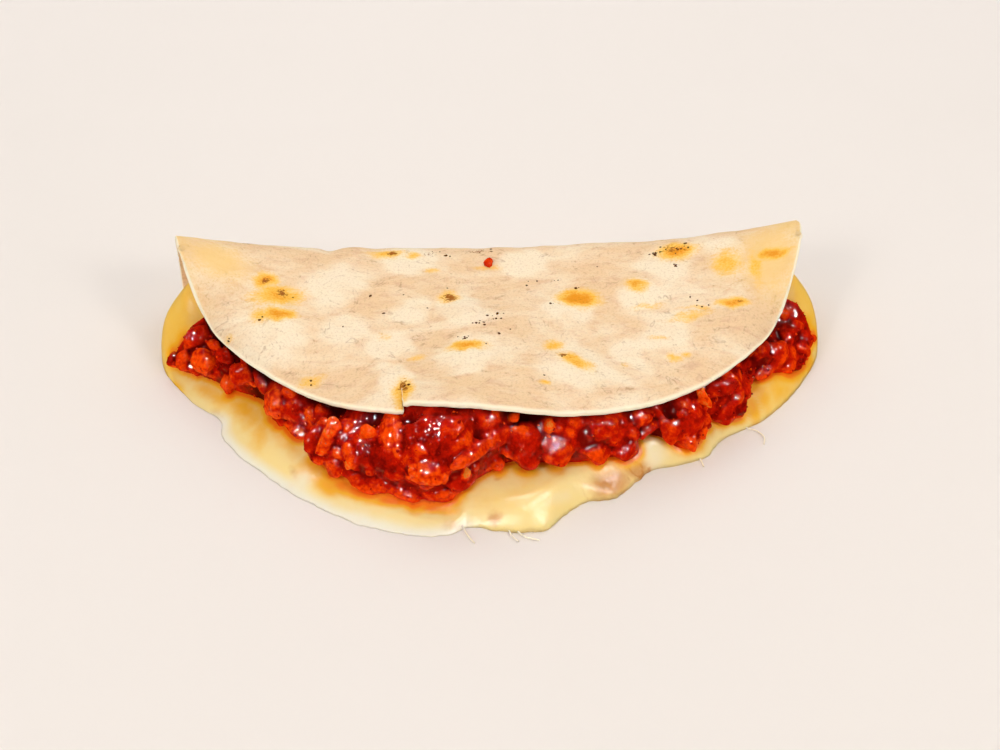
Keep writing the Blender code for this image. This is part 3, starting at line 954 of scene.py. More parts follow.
    def rows(self, end: np.ndarray, bend: np.ndarray, on_bend: int, on_flap: int) -> np.ndarray:
        """Distances from the fold line to an edge, one line of them a station.

        Args:
            end: Each station's distance to the edge.
            bend: Each station's length of the bend.
            on_bend: The number of rows on the bend.
            on_flap: The number of rows on the flat part.

        Returns:
            Distances, with a station a row.
        """
        short = np.minimum(bend, end * self.bend_share)[:, None]
        first = short * np.arange(1, on_bend + 1) / on_bend
        rest = short + (end[:, None] - short) * np.arange(1, on_flap + 1) / on_flap
        return np.concatenate([first, rest], axis=1)

    def build(self) -> bpy.types.Object:
        """Builds and dresses the sheet.

        Returns:
            The closed, dressed sheet.
        """
        u = -np.cos(math.pi * np.arange(1, self.stations) / self.stations)
        split = int(np.argmin(np.abs(u * self.half_width - self.tear_x)))
        u[split] = self.tear_x / self.half_width
        x = u * self.half_width
        bend = self.bend_radius(u) * math.pi / 2
        ragged = sum(high * flat_noise(x, 0 * x, size, seed) for high, size, seed in self.edge_ragged)
        up_end = self.reach(u, self.upper_reach) + ragged * smooth((1 - np.abs(u)) * 12)
        low_end = self.reach(u, self.lower_reach) * (1 - self.lower_skew * u)
        low = -self.rows(low_end, bend, self.bend_rows, self.lower_rows)[:, ::-1]
        high = self.rows(up_end, bend, self.bend_rows, self.upper_rows)
        s = np.concatenate([low, np.zeros((len(u), 1)), high], axis=1)
        xs = np.repeat(x[:, None], s.shape[1], axis=1)
        count = s.shape[1]
        tip = int(np.argmax(s[split] > s[split, -1] - self.tear_length))
        opening = np.clip((s - s[split, tip]) / (s[split, -1] - s[split, tip]), 0, 1)
        by_tear = bell(xs - self.tear_x, self.tear_spread)
        near = by_tear * self.tear_width / 2 * opening
        jag = self.tear_jag * flat_noise(s, 0 * s, 1.3, 9) * opening
        side = np.where(np.arange(len(u))[:, None] <= split, -1.0, 1.0)
        xs = xs + near * side + jag * by_tear
        mid = self.place(xs, s)
        torn = slice(tip + 1, None)
        lip_x = (self.tear_x + self.tear_width / 2 * opening[split] + jag[split])[torn]
        lip = self.place(lip_x + self.lip_away, s[split, torn])
        lip[:, 0] = lip_x
        mid[split, torn, 2] = self.place(xs[split, torn] - self.lip_away, s[split, torn])[:, 2]
        ends = self.place(np.array([-self.half_width, self.half_width]), np.zeros(2))
        points = np.concatenate([mid.reshape(-1, 3), lip, ends])
        of_grid = np.stack([xs, s], axis=-1).reshape(-1, 2)
        of_lip = np.stack([lip_x, s[split, torn]], axis=-1)
        sheet_places = np.concatenate([of_grid, of_lip, [[-self.half_width, 0.0], [self.half_width, 0.0]]])
        grid = np.arange(mid.shape[0] * count).reshape(-1, count)
        right_of_split = grid.copy()
        right_of_split[split, torn] = grid.size + np.arange(count - tip - 1)
        left_end, right_end = len(points) - 2, len(points) - 1

        def cells(rows: np.ndarray) -> np.ndarray:
            """Four-sided faces over these rows, with the tear left open.

            Args:
                rows: Numbers of the rows to join.

            Returns:
                Point numbers, as rows of four.
            """
            near_side = right_of_split[:-1][:, rows]
            far_side = grid[1:][:, rows]
            stack = [near_side[:, :-1], far_side[:, :-1], far_side[:, 1:], near_side[:, 1:]]
            return np.stack(stack, axis=-1).reshape(-1, 4)

        all_rows = np.arange(count)
        dense_from = tip - 1
        few_rows = np.arange(0, dense_from, self.under_skip)
        few_rows = np.unique(np.concatenate([few_rows, all_rows[dense_from:]]))
        outer = cells(all_rows)
        normal = normals_of(points, outer)
        if normal[grid[len(u) // 2, -20], 2] < 0:
            normal = -normal
        to_tear = [[left_end], grid[: split + 1, -1], grid[split, tip : count - 1][::-1]]
        from_tear = [right_of_split[split, torn], grid[split + 1 :, -1], [right_end], grid[::-1, 0]]
        loop = np.concatenate(to_tear + from_tear)
        to_edge = np.minimum(up_end[:, None] - s, s + low_end[:, None])
        slit = np.hypot(xs - self.tear_x, 2.0 * (1 - opening)) + 0.3
        to_edge = np.where(s > 0, np.minimum(to_edge, np.where(opening > 0, slit, 99)), to_edge)
        edge_flat = np.concatenate([to_edge.ravel(), np.zeros(count - tip - 1), np.zeros(2)])
        full = smooth(edge_flat / self.thin_from)
        thick = self.sheet * (self.rim_share + (1 - self.rim_share) * full)
        fine = self.fine_relief(sheet_places) * smooth(edge_flat / self.relief_inset)
        top = points + normal * (thick / 2 + fine)[:, None]
        under = points - normal * (thick / 2)[:, None]
        ahead = points[np.roll(loop, -1)] - points[np.roll(loop, 1)]
        outward = np.cross(ahead, normal[loop])
        outward /= np.maximum(np.linalg.norm(outward, axis=1, keepdims=True), 1e-6)
        if outward[len(u) // 3, 1] > 0:
            outward = -outward
        n = len(points)
        rings = [loop]
        extra = []
        for k in (1, 2, 3):
            turn = math.pi * k / 4
            rise = normal[loop] * (thick[loop, None] / 2) * math.cos(turn)
            extra.append(points[loop] + rise + outward * self.edge_bulge * math.sin(turn))
            rings.append(2 * n + (k - 1) * len(loop) + np.arange(len(loop)))
        rings.append(loop + n)
        faces = outer.tolist() + (cells(few_rows)[:, ::-1] + n).tolist()
        for a, b in zip(rings[:-1], rings[1:]):
            a_next, b_next = np.roll(a, -1), np.roll(b, -1)
            faces += np.stack([a, a_next, b_next, b], axis=-1).tolist()
        last = grid.shape[0] - 1
        for shift, rows in ((0, all_rows), (n, few_rows)):
            for j, k in zip(rows[:-1], rows[1:]):
                faces.append([left_end + shift, grid[0, j] + shift, grid[0, k] + shift])
                faces.append([right_end + shift, grid[last, k] + shift, grid[last, j] + shift])
        made = new_object("tortilla_sheet", np.concatenate([top, under, *extra]), faces)
        uv = np.concatenate([sheet_places, sheet_places] + [sheet_places[loop]] * 3)
        by_rim = smooth(1 - edge_flat / self.rim_width)
        is_rim = np.concatenate([0.9 * by_rim, by_rim, np.ones(3 * len(loop))])
        is_top = np.concatenate([np.ones(n), np.zeros(n), np.zeros(3 * len(loop))])
        set_sheet_uv(made, uv)
        self.dress(made, uv, is_rim, is_top)
        return tidy_shell(made)

    def fine_relief(self, places: np.ndarray) -> np.ndarray:
        """Small unevenness of the griddled face, as height over the smooth sheet.

        Args:
            places: x and s of points, as rows of two.

        Returns:
            Heights in millimetres.
        """
        x, s = places[:, 0], places[:, 1]
        warp = 2.2 * flat_noise(x, s, 7.0, 21)
        total = 0.16 * flat_noise(x, s, 4.5, 22) + 0.07 * flat_noise(x, s, 1.7, 23)
        total = total + 0.28 * flat_noise(x * 0.8, s, 12.0, 24)
        for blister in BLISTERS:
            away = np.hypot(x + warp - blister.x, s - warp - blister.s) / (blister.long / 2)
            total = total + blister.strength * smooth(1.25 - away)
        dip = bell(x + 41.5, 2.2) - 0.7 * bell(x + 35.0, 4.5)
        return total + bell(s - 8.0, 13.0) * (0.55 * flat_noise(x, 0 * x, 11.0, 25) - 0.7 * dip)

    def dress(
        self, made: bpy.types.Object, places: np.ndarray, rim: np.ndarray, top: np.ndarray
    ) -> None:
        """Paints the griddle's marks and gives the sheet its material.

        Args:
            made: The sheet.
            places: x and s of its points, as rows of two.
            rim: How much each point belongs to the cut edge.
            top: 1 on the outer face.
        """
        x, s = places[:, 0], places[:, 1]
        warp_x = x + 1.1 * flat_noise(x, s, 3.0, 31)
        warp_s = s + 1.1 * flat_noise(x, s, 3.0, 32)
        pale = np.zeros(len(x))
        wide_x = warp_x + 2.4 * flat_noise(x, s, 6.0, 33)
        wide_s = warp_s + 2.4 * flat_noise(x, s, 6.0, 34)
        for mark in BLISTERS:
            away = np.hypot(wide_x - mark.x, wide_s - mark.s) / (mark.long / 2)
            pale = np.maximum(pale, 0.22 * smooth((1.35 - away) / 0.7))
        pale = pale - 0.3 * bell(s - 1.0, 4.0)
        values = {"pale": pale, "rim": rim}
        for name, marks in (("toast", TOAST), ("brown", BROWN), ("char", CHAR), ("oil", OIL)):
            total = np.zeros(len(x))
            for mark in marks:
                total = np.maximum(total, mark.over(warp_x, warp_s))
            values[name] = total * top
        ends = smooth((np.abs(x) - 62.0) / 22.0) * top
        values["oil"] = np.maximum(values["oil"], 0.75 * ends)
        for name, each in values.items():
            set_attribute(made, name, each)
        made.data.materials.append(self.finish.material())


def tidy_shell(made: bpy.types.Object) -> bpy.types.Object:
    """Removes the points that no face uses, and turns every face outwards.

    Args:
        made: An object with a closed mesh.

    Returns:
        The same object.
    """
    shape = bmesh.new()
    shape.from_mesh(made.data)
    bmesh.ops.delete(shape, geom=[v for v in shape.verts if not v.link_faces], context="VERTS")
    bmesh.ops.recalc_face_normals(shape, faces=shape.faces)
    shape.to_mesh(made.data)
    shape.free()
    return made


# Blisters: raised, pale rounds, by their diameter, with strength as height.
BLISTERS = rows_of(Mark, (
    (-39, 27, 15, 15, 0.5), (-55, 46, 17, 17, 0.45), (-8.5, 38, 13, 13, 0.7), (-37, 43, 12, 12, 0.3),
    (-9, 55.5, 12, 12, 0.5), (-26, 50, 11, 11, 0.35), (-26, 60, 9, 9, 0.3), (18, 37.5, 13, 13, 0.6),
    (17, 59, 16, 16, 0.6), (32, 52, 9, 9, 0.3), (45, 22, 15, 15, 0.4), (36, 33, 11, 11, 0.4),
    (41, 47, 14, 14, 0.35), (-22, 16, 14, 14, 0.3), (8, 18, 12, 12, 0.2), (60, 20, 9, 9, 0.25),
    (-20, 36, 10, 10, 0.25),
))  # fmt: skip

# Yellow-orange toast on the blisters.
TOAST = rows_of(Mark, (
    (-57, 26.5, 4.5, 5.5, 0.9, 60), (-53.5, 31.5, 12, 6, 0.75, -10), (-53, 38.5, 7.5, 4, 1),
    (-57.5, 39, 4, 5, 0.6), (-26.8, 14, 8, 3.5, 0.7), (-19.5, 15, 4, 2.5, 0.6), (-15, 21, 4, 2, 0.45),
    (-11.3, 32.3, 5, 6, 0.6), (-7.6, 52.5, 8, 4, 0.85, -5), (-27.4, 46, 4, 3.5, 0.35),
    (-19.3, 54.4, 4.5, 3, 0.45), (20.8, 33.7, 8.5, 6, 1.15), (36, 29.5, 5, 4.5, 0.85),
    (13.1, 51.2, 4.5, 4, 0.55), (17.8, 57, 8, 4.5, 0.7, 35), (42, 55, 4, 2.5, 0.55, 20),
    (45, 54, 3, 2, 0.5), (39.5, 48.8, 5, 2, 0.4), (47.6, 17.6, 9, 5.5, 1), (59.5, 24.5, 7, 9, 0.6),
    (71.5, 25.2, 7, 3, 0.9, 10), (66.5, 27.5, 3, 10, 0.55), (58.6, 38.7, 7, 2.6, 0.95, 10),
    (47.5, 42, 12, 3, 0.45, -15), (50, 39, 10, 2, 0.4), (38, 37.5, 9, 2.5, 0.4),
    (-44.5, 59, 8, 3, 0.45, -20), (-65, 44.4, 4, 3, 0.4), (10, 64.5, 3, 1.6, 0.6),
    (-0.8, 19.8, 8, 2.5, 0.4), (30, 57.3, 4, 3, 0.3), (-22.8, 66.5, 4.5, 8, 0.75),
))  # fmt: skip

# Brown at the hottest points.
BROWN = rows_of(Mark, (
    (-56.8, 26.8, 2.2, 2.2, 0.75), (-52.4, 30.6, 2.6, 2, 0.8), (-25.2, 13.8, 2.4, 2, 0.8),
    (-11.2, 32.4, 2.8, 3.4, 0.95), (21, 34.3, 4.5, 2.5, 0.45), (15.1, 55.5, 2, 1.6, 0.85),
    (46.6, 16.6, 6, 3.6, 0.66, 10), (-22.6, 65.4, 2.2, 4.6, 0.95), (-2, 12.5, 6, 1.6, 0.6),
    (-15.5, 13.8, 5, 1.8, 0.5), (59.5, 38.7, 3.5, 1.2, 0.5), (-62.5, 11.8, 3.5, 1.4, 0.6),
))  # fmt: skip

# Black scorch under two of the clusters of flecks.
CHAR = rows_of(Mark, (
    (42.6, 17.8, 2, 1.6, 0.5), (-62.5, 11.6, 2, 1, 0.7),
))  # fmt: skip

# Oil from the filling, soaked through.
OIL = rows_of(Mark, (
    (-69, 22, 16, 12, 0.9, 20), (71, 26, 16, 22, 0.95), (76, 16, 12, 16, 0.8), (-74, 12, 14, 14, 0.6),
    (60, 26, 10, 16, 0.45), (-54, 33, 14, 16, 0.4),
))  # fmt: skip


@dataclass
class Cheese:
    """The melted cheese: a sheet in front that rises to fill the fold."""

    tortilla: Tortilla
    middle: tuple = (0.0, 5.0)
    outline: tuple = (
        (84.5, 16.0), (84.0, 26.0), (77.0, 34.0), (-77.0, 34.0), (-84.5, 26.0), (-84.0, 16.0),
        (-76.0, 3.5), (-69.0, -3.0), (-67.5, -9.5), (-54.0, -25.0), (-43.5, -34.0), (-34.0, -39.5),
        (-13.5, -44.0), (-9.0, -41.5), (8.5, -43.5), (13.5, -39.0), (19.0, -35.0), (26.0, -34.0),
        (36.0, -25.5), (49.0, -21.5), (56.0, -14.5), (66.0, -9.0), (77.0, 2.5),
    )  # fmt: skip
    gap: float = 0.35
    clear: float = 0.25
    front_thickness: float = 4.8
    edge: float = 8.0
    thin_edge: float = 17.0
    side_edge: float = 15.0
    rise_from: float = 9.0
    rise_to: float = 27.0
    soak_height: float = 9.0
    rim_height: float = 0.06
    sectors: int = 620
    rings: int = 92
    ruffles: tuple = ((0.5, 4.0, 51), (0.25, 1.5, 52))
    melt_inset: float = 5.0
    melt_to: float = 24.0
    low_shares: tuple = (0.97, 0.9, 0.7, 0.4)
    edge_in: float = 0.994
    ring_width: float = 0.45
    finish: MeltedCheeseFinish = field(default_factory=MeltedCheeseFinish)

    def outline_reach(self, points: tuple, theta: np.ndarray) -> np.ndarray:
        """Distance from the middle to an outline, eased through its points.

        Args:
            points: The outline's points, anticlockwise.
            theta: Angles round the middle.

        Returns:
            One distance an angle.
        """
        around = np.array(points) - self.middle
        angles = np.unwrap(np.arctan2(around[:, 1], around[:, 0]))
        radii = np.hypot(around[:, 0], around[:, 1])
        turn = 2 * math.pi
        angles = np.concatenate([angles[-2:] - turn, angles, angles[:2] + turn])
        radii = np.concatenate([radii[-2:], radii, radii[:2]])
        wrapped = (theta - angles[2]) % turn + angles[2]
        k = np.clip(np.searchsorted(angles, wrapped) - 1, 1, len(angles) - 3)
        width = angles[k + 1] - angles[k]
        t = (wrapped - angles[k]) / width
        slope_in = (radii[k + 1] - radii[k - 1]) / (angles[k + 1] - angles[k - 1]) * width
        slope_out = (radii[k + 2] - radii[k]) / (angles[k + 2] - angles[k]) * width
        return (
            (2 * t**3 - 3 * t**2 + 1) * radii[k]
            + (t**3 - 2 * t**2 + t) * slope_in
            + (3 * t**2 - 2 * t**3) * radii[k + 1]
            + (t**3 - t**2) * slope_out
        )

    def cut_off(self, far: np.ndarray, theta: np.ndarray, back_y: float) -> np.ndarray:
        """An outline's reach, cut off along a straight line at the back."""
        back_sine = np.maximum(np.sin(theta), 1e-3)
        return np.where(np.sin(theta) > 0, np.minimum(far, (back_y - self.middle[1]) / back_sine), far)

    def reach(self, theta: np.ndarray) -> np.ndarray:
        """The cheese's outline, kept off the inner face of the fold."""
        sheet = self.tortilla
        back_y = sheet.fold_y - sheet.sheet - self.gap - self.clear
        return self.cut_off(self.outline_reach(self.outline, theta), theta, back_y)

    def polar(self, x: np.ndarray, y: np.ndarray) -> tuple[np.ndarray, np.ndarray]:
        """Angle round the middle and distance from it."""
        away_x, away_y = x - self.middle[0], y - self.middle[1]
        return np.arctan2(away_y, away_x), np.hypot(away_x, away_y)

    def around(
        self, shares: np.ndarray, far: np.ndarray, theta: np.ndarray
    ) -> tuple[np.ndarray, np.ndarray]:
        """x and y of rings round the middle, at shares of the way to far.

        Args:
            shares: The rings' shares of the way.
            far: Each angle's whole way.
            theta: The angles.

        Returns:
            x and y, with a ring a row.
        """
        x = self.middle[0] + shares[:, None] * (far * np.cos(theta))[None, :]
        y = self.middle[1] + shares[:, None] * (far * np.sin(theta))[None, :]
        return x, y

    def top(self, x: np.ndarray, y: np.ndarray) -> np.ndarray:
        """Top of the cheese, round at its edge.

        Args:
            x: Places along the fold.
            y: Places across it.

        Returns:
            Heights in millimetres.
        """
        theta, distance = self.polar(x, y)
        rise = smooth((y - self.rise_from) / (self.rise_to - self.rise_from))
        margin = self.gap + self.clear
        floor = self.tortilla.inner_floor(x, y, margin)
        ceiling = self.tortilla.underside(x, y) - margin
        height = self.front_thickness + rise * (ceiling - self.front_thickness)
        left = smooth((4.0 - x) / 22.0)
        front = self.edge + left * (self.thin_edge - self.edge)
        width = front + rise * (self.side_edge - front)
        near = self.reach(theta) - distance
        wide = sum(self.reach(theta + turn) for turn in (-0.1, -0.05, 0.05, 0.1)) / 4 - distance
        depth = near + (wide - near) * smooth(near / 6.0)
        power = 1.6 - 0.5 * left * (1 - rise) + 0.4 * rise
        return floor + np.maximum(height - floor, 0) * rounded(depth, width, power)

    def melt(self, x: np.ndarray, y: np.ndarray) -> np.ndarray:
        """Soft unevenness of the melt, as height over the plain top.

        Args:
            x: Places along the fold.
            y: Places across it.

        Returns:
            Heights in millimetres.
        """
        total = 0.45 * flat_noise(x, y, 10.0, 41) + 0.12 * flat_noise(x, y, 4.0, 42)
        for mark in LUMPS:
            total = total + mark.over(x, y)
        return total

    def build(self, heap: bpy.types.Object) -> bpy.types.Object:
        """Builds and dresses the cheese.

        Args:
            heap: The meat on it, whose fat stains it.

        Returns:
            The dressed cheese.
        """
        theta = np.linspace(-math.pi, math.pi, self.sectors, endpoint=False)
        ruffle = 0.0
        for high, size, seed in self.ruffles:
            ruffle = ruffle + high * flat_noise(60 * np.cos(theta), 60 * np.sin(theta), size, seed)
        far = self.reach(theta) + (ruffle - 0.35) * (np.sin(theta) < 0.1)
        shares = 1 - (1 - np.linspace(0, 1, self.rings + 1)[1:]) ** 1.25
        x, y = self.around(shares, far, theta)
        margin = self.gap + self.clear
        inside = smooth((1 - shares)[:, None] * far[None, :] / self.melt_inset)
        z = self.top(x, y) + self.melt(x, y) * inside * (y < self.melt_to)
        z[-1] = self.tortilla.inner_floor(x[-1], y[-1], margin) + self.rim_height
        low_x, low_y = self.around(np.array(self.low_shares), far, theta)
        low_z = self.tortilla.inner_floor(low_x, low_y, margin)
        edge_low = np.stack([x[-1], y[-1], z[-1] - self.rim_height], axis=-1)
        edge_low[:, :2] = self.middle + self.edge_in * (edge_low[:, :2] - self.middle)
        rings = [np.stack(each, axis=-1).reshape(-1, 3) for each in ((x, y, z), (low_x, low_y, low_z))]
        centre_top = [*self.middle, float(self.top(np.zeros(1), np.array([self.middle[1]]))[0])]
        points = np.concatenate([rings[0], edge_low, rings[1], [centre_top], [[*self.middle, 0.0]]])
        count = self.rings + 1 + len(self.low_shares)
        lines = [np.arange(self.sectors) + k * self.sectors for k in range(count)]
        faces = [face for a, b in zip(lines[:-1], lines[1:]) for face in ring_quads(a, b)]
        faces += fan(len(points) - 2, lines[0]) + fan(len(points) - 1, lines[-1][::-1])
        made = new_object("cheese_melt", points, faces)
        self.dress(made, points, heap)
        return tidy_shell(made)

    def dress(self, made: bpy.types.Object, points: np.ndarray, heap: bpy.types.Object) -> None:
        """Paints the fat's stains and the fried patches, and gives the cheese its material.

        Args:
            made: The cheese.
            points: Its points, as rows of three.
            heap: The meat on it.
        """
        x, y = points[:, 0], points[:, 1]
        theta, distance = self.polar(x, y)
        of_heap = point_places(heap)
        of_heap = of_heap[(of_heap[:, 2] < self.soak_height) & (of_heap[:, 1] < self.rise_to)][::3]
        tree = nearest_of(of_heap)
        off_meat = np.array([tree.find(point)[2] for point in points])
        patchy = np.clip(0.5 + 0.9 * flat_noise(x, y, 9.0, 61), 0, 1)
        halo = np.exp(-np.maximum(off_meat - 0.5, 0) / (0.7 + 1.1 * patchy)) * (0.7 + 0.45 * patchy)
        for mark in STAINS:
            halo = np.maximum(halo, mark.over(x, y))
        set_attribute(made, "stain", halo)
        for name, marks in (("thick", YELLOW), ("pale", WHITISH)):
            set_attribute(made, name, np.maximum.reduce([mark.over(x, y) for mark in marks]))
        fried = np.maximum.reduce([mark.over(x, y) for mark in FRIED])
        for ring_x, ring_y, radius, strength in BUBBLE_RINGS:
            off_ring = np.abs(np.hypot(x - ring_x, (y - ring_y) * 1.25) - radius)
            fried = np.maximum(fried, strength * bell(off_ring, self.ring_width))
        set_attribute(made, "fried", fried)
        to_edge = self.reach(theta) - distance
        thin = smooth((5.0 - to_edge) / 5.0) * smooth((-2.0 - x) / 10.0) * smooth((2.0 - y) / 6.0)
        set_attribute(made, "thin", thin)
        made.data.materials.append(self.finish.material())


# Soft lumps and dents of the cheese in plan, with strength as height.
LUMPS = rows_of(Mark, (
    (35.7, -22.3, 7, 7.5, 2.2), (-47, -26, 8, 5, 0.8, -35), (-52.7, -16.3, 7, 6, 0.7),
    (11, -35.5, 16, 7, 0.7, 30), (24, -31, 8, 5, -1), (-20, -40, 20, 3, 0.5, -12),
    (70, -1, 10, 6, 0.5, 40),
))  # fmt: skip

# Yellow to red-orange from the meat's fat and sauce, in plan.
STAINS = rows_of(Mark, (
    (-40.8, -28.4, 9, 5, 0.6, -28), (-37, -29.1, 9, 4.4, 0.85, -28), (-32.5, -31.4, 11, 3.6, 1.1, -22),
    (-24, -34.3, 14, 3.2, 1.1, -8), (-17, -36.8, 10, 2.6, 0.8, -8), (-60, -5, 8, 7, 0.36, -45),
    (-57, -9, 6, 12, 0.3, -12), (-50.5, -15.5, 12, 6, 0.36, -45), (-46.5, -22, 6, 10, 0.28, -35),
    (-70, 4, 12, 5, 0.42, -45), (-63, -1.5, 10, 5, 0.45, -45), (65, -3, 5, 12, 0.5, 20),
    (62.5, -6.5, 4, 9, 0.6, 20), (73, 3, 12, 4, 0.55, 20), (70, -2, 16, 12, 0.28, 30),
    (-81, 8.5, 7, 4, 0.7, -50), (81.5, 9, 5, 7, 0.6),
))  # fmt: skip

# Thicker, yellower cheese, in plan.
YELLOW = rows_of(Mark, (
    (-79, 22, 22, 26, 0.9), (80, 22, 20, 26, 0.9), (1, -36, 32, 8, 0.42, -6), (70, -1, 20, 14, 0.7, 40),
    (-57, -14, 30, 12, 0.3, -45),
))  # fmt: skip

# Browned, fried patches, in plan.
FRIED = rows_of(Mark, (
    (25, -31, 11, 6, 0.85, 18), (31.5, -27, 8, 4, 0.7, 20), (-49.5, -23.5, 5, 2.5, 0.5, -60),
    (-12.3, -41.5, 5, 3, 0.5), (-3, -40.5, 4, 3.5, 0.55), (-1.5, -30.5, 3, 1.5, 0.6, 40),
    (-69.5, -1, 6, 2.5, 0.35, -50), (63, -8.8, 4, 1.6, 0.55, 25), (-85.5, 9, 5, 10, 0.8),
))  # fmt: skip

BUBBLE_RINGS = (
    (31.5, -26.6, 1.7, 0.85), (35.6, -26.3, 1.2, 0.7), (25.5, -31.2, 2.6, 0.6), (20, -33, 1.8, 0.4),
    (28.5, -29.8, 1.1, 0.6),
)  # fmt: skip

# Whitish, curd-like places, in plan.
WHITISH = rows_of(Mark, (
    (35.7, -22.3, 8, 8, 0.7), (-47, -26, 8, 6, 0.8, -35), (-35, -36, 30, 6, 0.45, -25),
    (12, -36.5, 10, 3, 0.5, 30), (-62, -14, 20, 6, 0.3, -50),
))  # fmt: skip


@dataclass(frozen=True)
class ChoppedPiece:
    """One piece of the heap: the middle of its outer face, its half sizes, turn and tone.

    The half sizes are along the heap's contour, up its slope and into it. turn is about the outward
    direction, in degrees, and lift is how far the piece stands out further than the rest.
    """

    place: tuple
    size: tuple
    turn: float
    tone: float
    lift: float = 0.0


